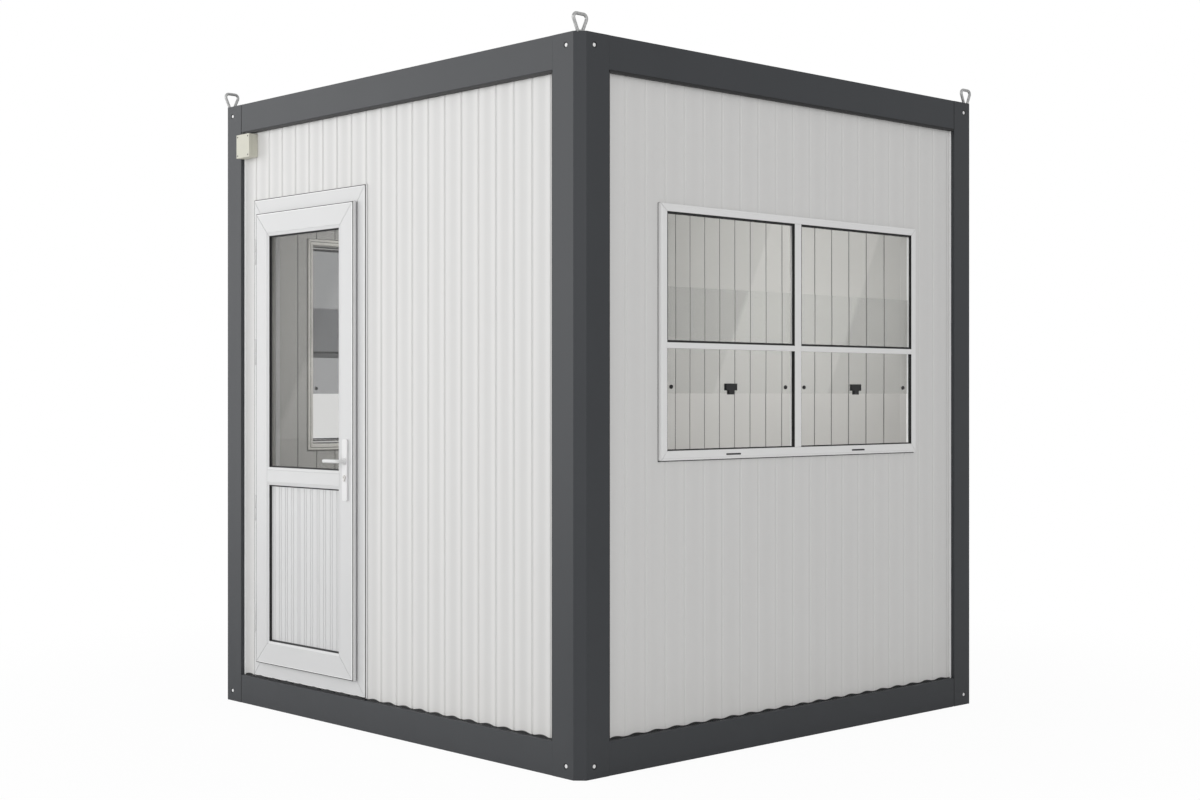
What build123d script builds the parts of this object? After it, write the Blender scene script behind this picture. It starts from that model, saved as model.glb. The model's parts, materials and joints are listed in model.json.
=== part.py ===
"""Security guard booth: a square prefabricated cabin of steel corner profiles and ribbed sandwich panels."""
import os
from build123d import *

# Cabin envelope, measured over the steel frame
cabin_side = 2300
cabin_height = 2575

# Folded steel frame
steel = 3
frame_depth = 70
post_face = 140
corner_cut = 32
rail_height = 120
lip = 20
rail_lap = 20
cap_thickness = 6

# Sandwich wall panels with vertical ribs
panel = 50
rib_pitch = 100
front_rib_offset = 60
side_rib_offset = 68
groove_width = 8
groove_depth = 2.5

# Floor and roof
joist_width = 50
joist_margin = 55
joist_count = 5
deck = 18
roof_panel = 60
roof_rib_count = 8
roof_rib_height = 28
roof_rib_foot = 70
roof_rib_slope = 56
sheet = 2

# Door: fixed frame
door_post_gap = 86
door_frame_width = 812
door_frame_bottom = 126
door_head_drop = 418
door_frame_proud = 11
opening_lap = 12

# Door: leaf
leaf_side_margin = 52
leaf_end_margin = 64
leaf_proud = 23
leaf_gap = 5
leaf_flange = 18
leaf_depth = 60
leaf_overlap = 8
leaf_clearance = 9
leaf_face = 88
leaf_bevel = 12
leaf_bevel_depth = 3
transom_centre = 984
transom_face = 51
rebate = 12
rebate_setback = 14
door_pane = 24
glass_sheet = 4
infill_pitch = 46.5
infill_pairs = 11
infill_pair_gap = 14
infill_groove = 3
infill_groove_depth = 2
gasket = 6
gasket_thickness = 3

# Door: hinges
hinge_foot_places = (184, 655)
hinge_head_places = (586, 160)
hinge_length = 100
knuckle_radius = 7
knuckle_standoff = 9
knuckle_setback = 9
knuckle_gap = 1
hinge_plate = 3
hinge_wing = 22
hinge_web = 6
pin_radius = 3
pin_gap = 0.06

# Door: handle and lock
handle_inset = 45
plate_width = 32
plate_height = 245
plate_thickness = 8
plate_corner = 6
plate_centre = 1026
lever_height = 1061
lever_neck_radius = 9
lever_collar = 8
lever_reach = 35
lever_bend = 13
lever_length = 100
lever_bar = 15
spindle = 8
spindle_hole_radius = 8
running_gap = 0.4
lock_height = 997
lock_radius = 8.5
lock_tail = 10
lock_tail_drop = 16
lock_proud = 4

# Windows
window_width = 1500
window_bottom = 1088
window_top = 2013
window_proud = 15
window_depth = 42
window_side = 32
window_head = 28
window_sill = 35
mullion = 38
light_transom_bottom = 1493
light_transom_top = 1514
light_transom_depth = 17
fixed_pane_setback = 8
fixed_pane = 5
fixed_pane_bite = 6
sash_setback = 20
sash_pane = 5
sash_height = 387
sash_lift = 207
channel_depth = 10
channel_gap = 0.3
window_gasket = 8
window_gasket_thickness = 3
latch_width = 60
latch_height = 26
latch_thickness = 12
latch_tab_width = 29
latch_tab_height = 15
stop_radius = 7.5
stop_inset = 36
stop_thickness = 6
foot_rise = 24
seal_setback = 6
seal_depth = 8
seal_side = 2
seal_foot = 5
drain_rise = 17
drain_pitch = 736
drain_length = 80
drain_height = 6
drain_depth = 8

# Lifting rings
ring_bar_radius = 6
ring_top_width = 76
ring_foot_width = 17
ring_height = 67
ring_inset = 25
ring_corner = 14

# Cable box
box_side = 100
box_depth = 43
box_lid = 14
box_drop = 135
box_corner = 3
gland_radius = 11
gland_height = 14
gland_inset = 18
gland_standoff = 4
box_seam = 1.5

half = cabin_side / 2
wall_face = half - lip
wall_back = wall_face - panel
inner_half = half - frame_depth
joist_pitch = (2 * inner_half - 2 * joist_margin - joist_width) / (joist_count - 1)
roof_rib_pitch = 2 * inner_half / (roof_rib_count + 1)
panel_bottom = rail_height - rail_lap
panel_top = cabin_height - rail_height + rail_lap
front = -half
door_plane = -wall_face
door_centre = door_post_gap + post_face - half + door_frame_width / 2
door_frame_top = cabin_height - door_head_drop
frame_plane = door_plane - door_frame_proud
leaf_plane = door_plane - leaf_proud - door_frame_proud
flange_back = frame_plane - leaf_gap
leaf_back = leaf_plane + leaf_depth
leaf_width = door_frame_width - 2 * leaf_side_margin
leaf_bottom = door_frame_bottom + leaf_end_margin
leaf_top = door_frame_top - leaf_end_margin
hinge_heights = [leaf_bottom + place for place in hinge_foot_places]
hinge_heights += [leaf_top - place for place in hinge_head_places]
leaf_left = door_centre - leaf_width / 2
leaf_right = door_centre + leaf_width / 2
leaf_height = leaf_top - leaf_bottom
leaf_middle = (leaf_top + leaf_bottom) / 2
door_frame_height = door_frame_top - door_frame_bottom
door_frame_middle = (door_frame_top + door_frame_bottom) / 2
opening_width = door_frame_width - 2 * opening_lap
opening_bottom = door_frame_bottom + opening_lap
opening_top = door_frame_top - opening_lap
opening_left = door_centre - opening_width / 2
opening_right = door_centre + opening_width / 2
window_height = window_top - window_bottom
window_middle = (window_top + window_bottom) / 2
window_plane = wall_face + window_proud
light_width = (window_width - 2 * window_side - mullion) / 2
light_centre = (mullion + light_width) / 2
gap_bottom = window_bottom + window_sill
upper_bottom = light_transom_top
upper_top = window_top - window_head
box_left = half - post_face
box_bottom = cabin_height - box_drop - box_side

os.makedirs("parts", exist_ok=True)


def save(piece, name):
    """Label a finished piece and write it to its own file."""
    piece.label = name
    export_step(piece, f"parts/{name}.step")


# Corner posts: a square box with two flanges that lap over the wall panels
with BuildSketch() as post_outline:
    with BuildLine():
        Polyline(
            (half - corner_cut, front),
            (half - post_face, front),
            (half - post_face, front + lip),
            (inner_half, front + lip),
            (inner_half, -inner_half),
            (half - lip, -inner_half),
            (half - lip, front + post_face),
            (half, front + post_face),
            (half, front + corner_cut),
            close=True,
        )
    make_face()

with BuildPart() as corner_post_front_right:
    with BuildSketch():
        add(post_outline.sketch)
        offset(amount=-steel, kind=Kind.INTERSECTION, mode=Mode.SUBTRACT)
    extrude(amount=cabin_height)
    for cap_base in (0, cabin_height - cap_thickness):
        with BuildSketch(Plane.XY.offset(cap_base)):
            add(post_outline.sketch)
        extrude(amount=cap_thickness)

with BuildPart() as corner_post_front_left:
    mirror(corner_post_front_right.part, about=Plane.YZ)

with BuildPart() as corner_post_back_right:
    mirror(corner_post_front_right.part, about=Plane.XZ)

with BuildPart() as corner_post_back_left:
    mirror(corner_post_front_left.part, about=Plane.XZ)

save(corner_post_front_right.part, "corner_post_front_right")
save(corner_post_front_left.part, "corner_post_front_left")
save(corner_post_back_right.part, "corner_post_back_right")
save(corner_post_back_left.part, "corner_post_back_left")

# Rails: hollow folded profiles between the posts, with a lip that laps over the panels
with BuildPart() as bottom_rail_front:
    with BuildSketch(Plane.YZ.offset(-inner_half)):
        with BuildLine():
            Polyline(
                (front, 0),
                (-inner_half, 0),
                (-inner_half, panel_bottom),
                (front + lip, panel_bottom),
                (front + lip, rail_height),
                (front, rail_height),
                close=True,
            )
        make_face()
        offset(amount=-steel, kind=Kind.INTERSECTION, mode=Mode.SUBTRACT)
    extrude(amount=2 * inner_half)
    with BuildSketch():
        with Locations((half, front), (-half, front)):
            Rectangle(2 * post_face, 2 * lip)
    extrude(amount=cabin_height, mode=Mode.SUBTRACT)

with BuildPart() as top_rail_front:
    mirror(bottom_rail_front.part, about=Plane.XY.offset(cabin_height / 2))

with BuildPart() as bottom_rail_back:
    mirror(bottom_rail_front.part, about=Plane.XZ)

with BuildPart() as top_rail_back:
    mirror(top_rail_front.part, about=Plane.XZ)

with BuildPart() as bottom_rail_right:
    add(bottom_rail_front.part, rotation=(0, 0, 90))

with BuildPart() as top_rail_right:
    add(top_rail_front.part, rotation=(0, 0, 90))

with BuildPart() as bottom_rail_left:
    mirror(bottom_rail_right.part, about=Plane.YZ)

with BuildPart() as top_rail_left:
    mirror(top_rail_right.part, about=Plane.YZ)

save(bottom_rail_front.part, "bottom_rail_front")
save(bottom_rail_right.part, "bottom_rail_right")
save(bottom_rail_back.part, "bottom_rail_back")
save(bottom_rail_left.part, "bottom_rail_left")
save(top_rail_front.part, "top_rail_front")
save(top_rail_right.part, "top_rail_right")
save(top_rail_back.part, "top_rail_back")
save(top_rail_left.part, "top_rail_left")


def ribbed_wall(rib_offset):
    """A full wall on the front side: a slab with narrow grooves, the first at the offset from its left edge."""
    with BuildPart() as wall:
        with BuildSketch(Plane.XY.offset(panel_bottom)):
            with Locations((0, door_plane + panel / 2)):
                Rectangle(2 * inner_half, panel)
            count = int((2 * inner_half - rib_offset) // rib_pitch) + 1
            with Locations((-inner_half + rib_offset, door_plane)):
                with Locations(*[(rib_pitch * step, 0) for step in range(count)]):
                    Rectangle(groove_width, 2 * groove_depth, mode=Mode.SUBTRACT)
        extrude(amount=panel_top - panel_bottom)
    return wall.part


full_wall = ribbed_wall(front_rib_offset)
side_wall = ribbed_wall(side_rib_offset)

# Front wall, split beside, over and under the doorway
with BuildPart() as front_wall_left:
    add(full_wall)
    split(bisect_by=Plane.YZ.offset(opening_left), keep=Keep.BOTTOM)

with BuildPart() as front_wall_right:
    add(full_wall)
    split(bisect_by=Plane.YZ.offset(opening_right), keep=Keep.TOP)

with BuildPart() as front_wall_over_door:
    add(full_wall)
    split(bisect_by=Plane.YZ.offset(opening_left), keep=Keep.TOP)
    split(bisect_by=Plane.YZ.offset(opening_right), keep=Keep.BOTTOM)
    split(bisect_by=Plane.XY.offset(opening_top), keep=Keep.TOP)

with BuildPart() as front_wall_under_door:
    add(full_wall)
    split(bisect_by=Plane.YZ.offset(opening_left), keep=Keep.TOP)
    split(bisect_by=Plane.YZ.offset(opening_right), keep=Keep.BOTTOM)
    split(bisect_by=Plane.XY.offset(opening_bottom), keep=Keep.BOTTOM)

save(front_wall_left.part, "front_wall_left")
save(front_wall_right.part, "front_wall_right")
save(front_wall_over_door.part, "front_wall_over_door")
save(front_wall_under_door.part, "front_wall_under_door")

# Back wall, plain
with BuildPart() as back_wall:
    add(full_wall, rotation=(0, 0, 180))

save(back_wall.part, "back_wall")

# Right wall with the opening of the service window
with BuildPart() as right_wall:
    add(side_wall, rotation=(0, 0, 90))
    with BuildSketch(Plane.YZ.offset(wall_back)):
        with Locations((0, window_middle)):
            Rectangle(window_width - 2 * opening_lap, window_height - 2 * opening_lap)
    extrude(amount=panel, mode=Mode.SUBTRACT)

with BuildPart() as left_wall:
    mirror(right_wall.part, about=Plane.YZ)

save(right_wall.part, "right_wall")
save(left_wall.part, "left_wall")

# Floor: channel joists and a board deck
with BuildPart() as floor_joists:
    with BuildSketch(Plane.XZ.offset(-inner_half)):
        with GridLocations(joist_pitch, 0, joist_count, 1):
            with Locations((0, panel_bottom / 2)):
                Rectangle(joist_width, panel_bottom)
            with Locations((steel, panel_bottom / 2)):
                Rectangle(joist_width, panel_bottom - 2 * steel, mode=Mode.SUBTRACT)
    extrude(amount=2 * inner_half)

with BuildPart() as floor_deck:
    with BuildSketch(Plane.XY.offset(panel_bottom)):
        Rectangle(2 * wall_back, 2 * wall_back)
    extrude(amount=deck)

save(floor_joists.part, "floor_joists")
save(floor_deck.part, "floor_deck")

# Roof: insulated panel between the top rails, with a trapezoid sheet laid on it
roof_top = panel_top + roof_panel / 2
with BuildPart() as ceiling_panel:
    with BuildSketch(Plane.XY.offset(panel_top - roof_panel / 2)):
        Rectangle(2 * inner_half, 2 * inner_half)
    extrude(amount=roof_panel)

with BuildPart() as roof_sheet:
    with BuildSketch(Plane.XZ.offset(-inner_half)):
        with Locations((0, roof_top)):
            Rectangle(2 * inner_half, sheet, align=(Align.CENTER, Align.MIN))
        with GridLocations(roof_rib_pitch, 0, roof_rib_count, 1):
            with Locations((0, roof_top)):
                Trapezoid(roof_rib_foot, roof_rib_height, roof_rib_slope, align=(Align.CENTER, Align.MIN))
    extrude(amount=2 * inner_half)

save(ceiling_panel.part, "ceiling_panel")
save(roof_sheet.part, "roof_sheet")

# Door frame: a flange that laps over the wall and a body that fills the cut
with BuildPart() as door_frame:
    with BuildSketch(Plane.XZ.offset(-frame_plane)):
        with Locations((door_centre, door_frame_middle)):
            Rectangle(door_frame_width, door_frame_height)
    extrude(amount=-door_frame_proud)
    with BuildSketch(Plane.XZ.offset(-door_plane)):
        with Locations((door_centre, door_frame_middle)):
            Rectangle(opening_width, opening_top - opening_bottom)
    extrude(amount=-panel)
    with BuildSketch(Plane.XZ.offset(-frame_plane)):
        with Locations((door_centre, leaf_middle)):
            Rectangle(leaf_width - 2 * leaf_overlap, leaf_height - 2 * leaf_overlap)
    extrude(amount=-door_frame_proud - panel, mode=Mode.SUBTRACT)

save(door_frame.part, "door_frame")

# Door leaf: a flange over the frame, a body inside it, and two apertures with glazing rebates
leaf_inset = leaf_overlap + leaf_clearance
flange_end = leaf_plane + leaf_flange
pane_plane = leaf_plane + rebate_setback
bead_plane = pane_plane + door_pane
transom_low = transom_centre - transom_face / 2
transom_high = transom_centre + transom_face / 2
face_width = leaf_width - 2 * leaf_face
upper_face = leaf_top - leaf_face - transom_high
lower_face = transom_low - leaf_bottom - leaf_face
upper_centre = (leaf_top - leaf_face + transom_high) / 2
lower_centre = (transom_low + leaf_bottom + leaf_face) / 2
apertures = ((upper_centre, upper_face), (lower_centre, lower_face))
handle_x = leaf_right - handle_inset


def in_aperture(centre, face_height, margin, mode=Mode.ADD):
    """A rectangle in one aperture of the leaf, smaller than its face edges by the margin all round."""
    with Locations((door_centre, centre)):
        Rectangle(face_width - 2 * margin, face_height - 2 * margin, mode=mode)


def aperture_rings(start, depth, outer_margin, inner_margin):
    """Two rectangular rings, one in each aperture of the leaf."""
    with BuildPart() as rings:
        with BuildSketch(Plane.XZ.offset(-start)):
            for centre, face_height in apertures:
                in_aperture(centre, face_height, outer_margin)
                in_aperture(centre, face_height, inner_margin, mode=Mode.SUBTRACT)
        extrude(amount=-depth)
    return rings.part


with BuildPart() as door_leaf:
    with BuildSketch(Plane.XZ.offset(-leaf_plane)):
        with Locations((door_centre, leaf_middle)):
            Rectangle(leaf_width, leaf_height)
    extrude(amount=-leaf_flange)
    with BuildSketch(Plane.XZ.offset(-flange_end)):
        with Locations((door_centre, leaf_middle)):
            Rectangle(leaf_width - 2 * leaf_inset, leaf_height - 2 * leaf_inset)
    extrude(amount=leaf_flange - leaf_depth)
    for centre, face_height in apertures:
        with BuildSketch(Plane.XZ.offset(-leaf_plane)):
            in_aperture(centre, face_height, 0)
        with BuildSketch(Plane.XZ.offset(-leaf_plane - leaf_bevel_depth)):
            in_aperture(centre, face_height, leaf_bevel)
        loft(mode=Mode.SUBTRACT)
        with BuildSketch(Plane.XZ.offset(-leaf_plane)):
            in_aperture(centre, face_height, leaf_bevel)
        extrude(amount=-rebate_setback, mode=Mode.SUBTRACT)
        with BuildSketch(Plane.XZ.offset(-pane_plane)):
            in_aperture(centre, face_height, leaf_bevel - rebate)
        extrude(amount=-leaf_depth, mode=Mode.SUBTRACT)
    with BuildSketch(Plane.XZ.offset(-leaf_plane)):
        with Locations((handle_x, lever_height)):
            Circle(spindle_hole_radius)
        with Locations((handle_x, lock_height)):
            Circle(lock_radius)
        with Locations((handle_x, lock_height - lock_tail_drop / 2)):
            Rectangle(lock_tail, lock_tail_drop)
    extrude(amount=-leaf_depth, mode=Mode.SUBTRACT)

save(door_leaf.part, "door_leaf")

# Double glazing in the upper aperture and a grooved infill panel in the lower one
with BuildPart() as door_glass:
    with BuildSketch(Plane.XZ.offset(-pane_plane)):
        in_aperture(upper_centre, upper_face, leaf_bevel - rebate)
    extrude(amount=-glass_sheet)
    with BuildSketch(Plane.XZ.offset(-bead_plane)):
        in_aperture(upper_centre, upper_face, leaf_bevel - rebate)
    extrude(amount=glass_sheet)

with BuildPart() as door_panel:
    with BuildSketch(Plane.XZ.offset(-pane_plane)):
        in_aperture(lower_centre, lower_face, leaf_bevel - rebate)
    extrude(amount=-door_pane)
    with BuildSketch(Plane.XZ.offset(-pane_plane)):
        with Locations((door_centre, lower_centre)):
            with GridLocations(infill_pitch, 0, infill_pairs, 1):
                with GridLocations(infill_pair_gap, 0, 2, 1):
                    Rectangle(infill_groove, lower_face)
    extrude(amount=-infill_groove_depth, mode=Mode.SUBTRACT)

save(door_glass.part, "door_glass")
save(door_panel.part, "door_panel")

door_beads = aperture_rings(bead_plane, leaf_back - bead_plane, leaf_bevel - rebate, leaf_bevel)
door_gaskets = aperture_rings(pane_plane - gasket_thickness, gasket_thickness, leaf_bevel, leaf_bevel + gasket)
save(door_beads, "door_glazing_beads")
save(door_gaskets, "door_gaskets")

# Hinges: the lower half of each knuckle and the pin stay on the frame, the upper half is on the leaf
hinge_x = leaf_left - knuckle_standoff
hinge_y = leaf_plane + knuckle_setback

with BuildPart() as door_hinges_frame:
    for height in hinge_heights:
        with BuildSketch(Plane.XY.offset(height - hinge_length / 2)):
            with Locations((hinge_x, hinge_y)):
                Circle(knuckle_radius)
            with Locations((hinge_x - knuckle_radius + hinge_web, (hinge_y + frame_plane) / 2)):
                Rectangle(hinge_web, frame_plane - hinge_y, align=(Align.MAX, Align.CENTER))
            with Locations((hinge_x - knuckle_radius + hinge_web, frame_plane - hinge_plate / 2)):
                Rectangle(hinge_wing, hinge_plate, align=(Align.MAX, Align.CENTER))
        extrude(amount=hinge_length / 2 - knuckle_gap / 2)
        with BuildSketch(Plane.XY.offset(height - hinge_length / 4)):
            with Locations((hinge_x, hinge_y)):
                Circle(pin_radius)
        extrude(amount=hinge_length / 2)

with BuildPart() as door_hinges_leaf:
    for height in hinge_heights:
        with BuildSketch(Plane.XY.offset(height + knuckle_gap / 2)):
            with Locations((hinge_x, hinge_y)):
                Circle(knuckle_radius)
            with Locations((leaf_left, hinge_y)):
                Rectangle(knuckle_standoff, hinge_web, align=(Align.MAX, Align.CENTER))
            with Locations((hinge_x, hinge_y)):
                Circle(pin_radius + pin_gap, mode=Mode.SUBTRACT)
        extrude(amount=hinge_length / 2 - knuckle_gap / 2)

save(door_hinges_frame.part, "door_hinges_frame")
save(door_hinges_leaf.part, "door_hinges_leaf")

# Handle: a long plate on each face, a lever on each face joined by the spindle, and a lock cylinder
with BuildPart() as door_handle_plates:
    for start, depth in ((leaf_plane, plate_thickness), (leaf_back, -plate_thickness)):
        with BuildSketch(Plane.XZ.offset(-start)):
            with Locations((handle_x, plate_centre)):
                RectangleRounded(plate_width, plate_height, plate_corner)
            with Locations((handle_x, lever_height)):
                Circle(lever_neck_radius + running_gap, mode=Mode.SUBTRACT)
            with Locations((handle_x, lock_height)):
                Circle(lock_radius, mode=Mode.SUBTRACT)
            with Locations((handle_x, lock_height - lock_tail_drop / 2)):
                Rectangle(lock_tail, lock_tail_drop, mode=Mode.SUBTRACT)
        extrude(amount=depth)

outer_plate_face = leaf_plane - plate_thickness
lever_y = outer_plate_face - lever_reach
with BuildPart() as door_handle:
    with BuildSketch(Plane.XZ.offset(-leaf_plane + running_gap)):
        with Locations((handle_x, lever_height)):
            Circle(lever_neck_radius)
    extrude(amount=plate_thickness + lever_collar)
    with BuildLine() as lever_path:
        FilletPolyline(
            (handle_x, outer_plate_face, lever_height),
            (handle_x, lever_y, lever_height),
            (handle_x - lever_length, lever_y, lever_height),
            radius=lever_bend,
        )
    with BuildSketch(Plane.XZ.offset(-outer_plate_face)):
        with Locations((handle_x, lever_height)):
            Circle(lever_bar / 2)
    sweep(path=lever_path.line)
    mirror(about=Plane.XZ.offset(-(leaf_plane + leaf_back) / 2))
    with BuildSketch(Plane.XZ.offset(-leaf_plane + running_gap)):
        with Locations((handle_x, lever_height)):
            Rectangle(spindle, spindle)
    extrude(amount=-leaf_depth - 2 * running_gap)

with BuildPart() as door_lock_cylinder:
    with BuildSketch(Plane.XZ.offset(-outer_plate_face + lock_proud)):
        with Locations((handle_x, lock_height)):
            Circle(lock_radius)
        with Locations((handle_x, lock_height - lock_tail_drop / 2)):
            Rectangle(lock_tail, lock_tail_drop)
    extrude(amount=-leaf_depth - 2 * plate_thickness - 2 * lock_proud)

save(door_handle_plates.part, "door_handle_plates")
save(door_handle.part, "door_handle")
save(door_lock_cylinder.part, "door_lock_cylinder")

# Service window: a slim frame with two fixed upper lights over two lifting sashes
sash_low = gap_bottom + sash_lift
light_places = (-light_centre, light_centre)


def pane_in_lights(setback, thickness, bottom, top, bite):
    """A sheet in each half of the window, let into the side members by the bite."""
    with BuildPart() as sheets:
        with BuildSketch(Plane.YZ.offset(window_plane - setback)):
            for place in light_places:
                with Locations((place, (bottom + top) / 2)):
                    Rectangle(light_width + 2 * bite, top - bottom)
        extrude(amount=-thickness)
    return sheets.part


with BuildPart() as service_window_frame:
    with BuildSketch(Plane.YZ.offset(window_plane)):
        with Locations((0, window_middle)):
            Rectangle(window_width, window_height)
    extrude(amount=-window_proud)
    with BuildSketch(Plane.YZ.offset(wall_face)):
        with Locations((0, window_middle)):
            Rectangle(window_width - 2 * opening_lap, window_height - 2 * opening_lap)
    extrude(amount=window_proud - window_depth)
    with BuildSketch(Plane.YZ.offset(window_plane)):
        for place in light_places:
            with Locations((place, (gap_bottom + upper_top) / 2)):
                Rectangle(light_width, upper_top - gap_bottom)
    extrude(amount=-window_depth, mode=Mode.SUBTRACT)
    with BuildSketch(Plane.YZ.offset(window_plane)):
        with Locations((0, (light_transom_bottom + light_transom_top) / 2)):
            Rectangle(window_width - 2 * window_side, light_transom_top - light_transom_bottom)
    extrude(amount=-light_transom_depth)
    add(
        pane_in_lights(
            fixed_pane_setback,
            fixed_pane,
            upper_bottom - fixed_pane_bite,
            upper_top + fixed_pane_bite,
            fixed_pane_bite,
        ),
        mode=Mode.SUBTRACT,
    )
    add(
        pane_in_lights(
            sash_setback - channel_gap,
            sash_pane + 2 * channel_gap,
            gap_bottom,
            upper_top,
            channel_depth,
        ),
        mode=Mode.SUBTRACT,
    )
    with BuildSketch(Plane.YZ.offset(window_plane)):
        with Locations((0, window_bottom + drain_rise)):
            with GridLocations(drain_pitch, 0, 2, 1):
                SlotOverall(drain_length, drain_height)
    extrude(amount=-drain_depth, mode=Mode.SUBTRACT)

fixed_glass = pane_in_lights(
    fixed_pane_setback,
    fixed_pane,
    upper_bottom - fixed_pane_bite,
    upper_top + fixed_pane_bite,
    fixed_pane_bite,
)
sashes = pane_in_lights(sash_setback, sash_pane, sash_low, sash_low + sash_height, channel_depth - channel_gap)

with BuildPart() as side_window_frame:
    mirror(service_window_frame.part, about=Plane.YZ)

with BuildPart() as side_window_glass:
    mirror(fixed_glass, about=Plane.YZ)

with BuildPart() as side_window_sashes:
    mirror(sashes, about=Plane.YZ)

save(service_window_frame.part, "service_window_frame")
save(side_window_frame.part, "side_window_frame")
save(fixed_glass, "service_window_glass")
save(side_window_glass.part, "side_window_glass")
save(sashes, "service_window_sashes")
save(side_window_sashes.part, "side_window_sashes")

# Catches and stops on the lifting sashes of both windows
sash_face = window_plane - sash_setback
with BuildPart() as window_latches:
    for place in light_places:
        with BuildSketch(Plane.YZ.offset(sash_face)):
            with Locations((place, sash_low + foot_rise)):
                Rectangle(latch_width, latch_height)
            with Locations((place, sash_low + foot_rise - latch_height / 2)):
                Rectangle(latch_tab_width, latch_tab_height, align=(Align.CENTER, Align.MAX))
        extrude(amount=latch_thickness)
        with BuildSketch(Plane.YZ.offset(sash_face)):
            with Locations((place, sash_low + foot_rise)):
                with GridLocations(light_width - 2 * stop_inset, 0, 2, 1):
                    Circle(stop_radius)
        extrude(amount=stop_thickness)
    mirror(about=Plane.YZ)

# Black seals: a ring round each fixed light and a strip round the sides and foot of each opening
with BuildPart() as window_gaskets:
    with BuildSketch(Plane.YZ.offset(window_plane - fixed_pane_setback)):
        for place in light_places:
            with Locations((place, (upper_bottom + upper_top) / 2)):
                Rectangle(light_width, upper_top - upper_bottom)
                Rectangle(
                    light_width - 2 * window_gasket,
                    upper_top - upper_bottom - 2 * window_gasket,
                    mode=Mode.SUBTRACT,
                )
    extrude(amount=window_gasket_thickness)
    with BuildSketch(Plane.YZ.offset(window_plane - seal_setback)):
        for place in light_places:
            with Locations((place, (gap_bottom + light_transom_bottom) / 2)):
                Rectangle(light_width, light_transom_bottom - gap_bottom)
            with Locations((place, light_transom_bottom)):
                Rectangle(
                    light_width - 2 * seal_side,
                    light_transom_bottom - gap_bottom - seal_foot,
                    align=(Align.CENTER, Align.MAX),
                    mode=Mode.SUBTRACT,
                )
    extrude(amount=-seal_depth)
    mirror(about=Plane.YZ)

save(window_latches.part, "window_latches")
save(window_gaskets.part, "window_gaskets")

# Lifting rings: a bent bar stands on the top of each corner post, its two feet close together
ring_place = ring_inset - half
ring_crown = cabin_height + ring_height - ring_bar_radius
with BuildPart() as lifting_rings:
    with BuildLine(Plane.YZ.offset(half - ring_inset)) as ring_path:
        FilletPolyline(
            (ring_place - ring_foot_width / 2, cabin_height - ring_bar_radius),
            (ring_place - ring_top_width / 2, ring_crown),
            (ring_place + ring_top_width / 2, ring_crown),
            (ring_place + ring_foot_width / 2, cabin_height - ring_bar_radius),
            radius=ring_corner,
        )
    with BuildSketch(Plane(origin=ring_path.line @ 0, z_dir=ring_path.line % 0)):
        Circle(ring_bar_radius)
    sweep(path=ring_path.line)
    with BuildSketch(Plane.XY.offset(cabin_height)):
        Rectangle(cabin_side, cabin_side)
    extrude(amount=-3 * ring_bar_radius, mode=Mode.SUBTRACT)
    mirror(about=Plane.YZ)
    mirror(about=Plane.XZ)

save(lifting_rings.part, "lifting_rings")

# Cable box on the front wall beside the left post, with a gland on top
with BuildPart() as cable_box:
    with BuildSketch(Plane.XZ.offset(-door_plane)):
        with Locations((-box_left, box_bottom)):
            Rectangle(box_side, box_side, align=Align.MIN)
    extrude(amount=box_depth)
    fillet(cable_box.edges().filter_by(Axis.Y), box_corner)
    with BuildSketch(Plane.XZ.offset(-door_plane + box_depth - box_lid)):
        with Locations((-box_left + box_side / 2, box_bottom + box_side / 2)):
            RectangleRounded(box_side, box_side, box_corner)
            RectangleRounded(box_side - 2 * box_seam, box_side - 2 * box_seam, box_corner, mode=Mode.SUBTRACT)
    extrude(amount=-box_seam, mode=Mode.SUBTRACT)

with BuildPart() as cable_gland:
    with BuildSketch(Plane.XY.offset(box_bottom + box_side)):
        with Locations((-box_left + gland_inset, door_plane - gland_radius - gland_standoff)):
            Circle(gland_radius)
    extrude(amount=gland_height)

save(cable_box.part, "cable_box")
save(cable_gland.part, "cable_gland")
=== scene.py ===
# %% [markdown]
# A guard booth: a square cabin of dark folded steel with white ribbed walls. This lesson dresses the
# measured model of the cabin. The measured model comes first as a fixed frame, and every piece made here
# sits on it, in metres, with the same origin: the middle of the base, the door wall towards -Y and the
# service window towards +X.

# %% The fixed frame
import json
import math
import bmesh
import bpy
from mathutils import Matrix, Vector

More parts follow.
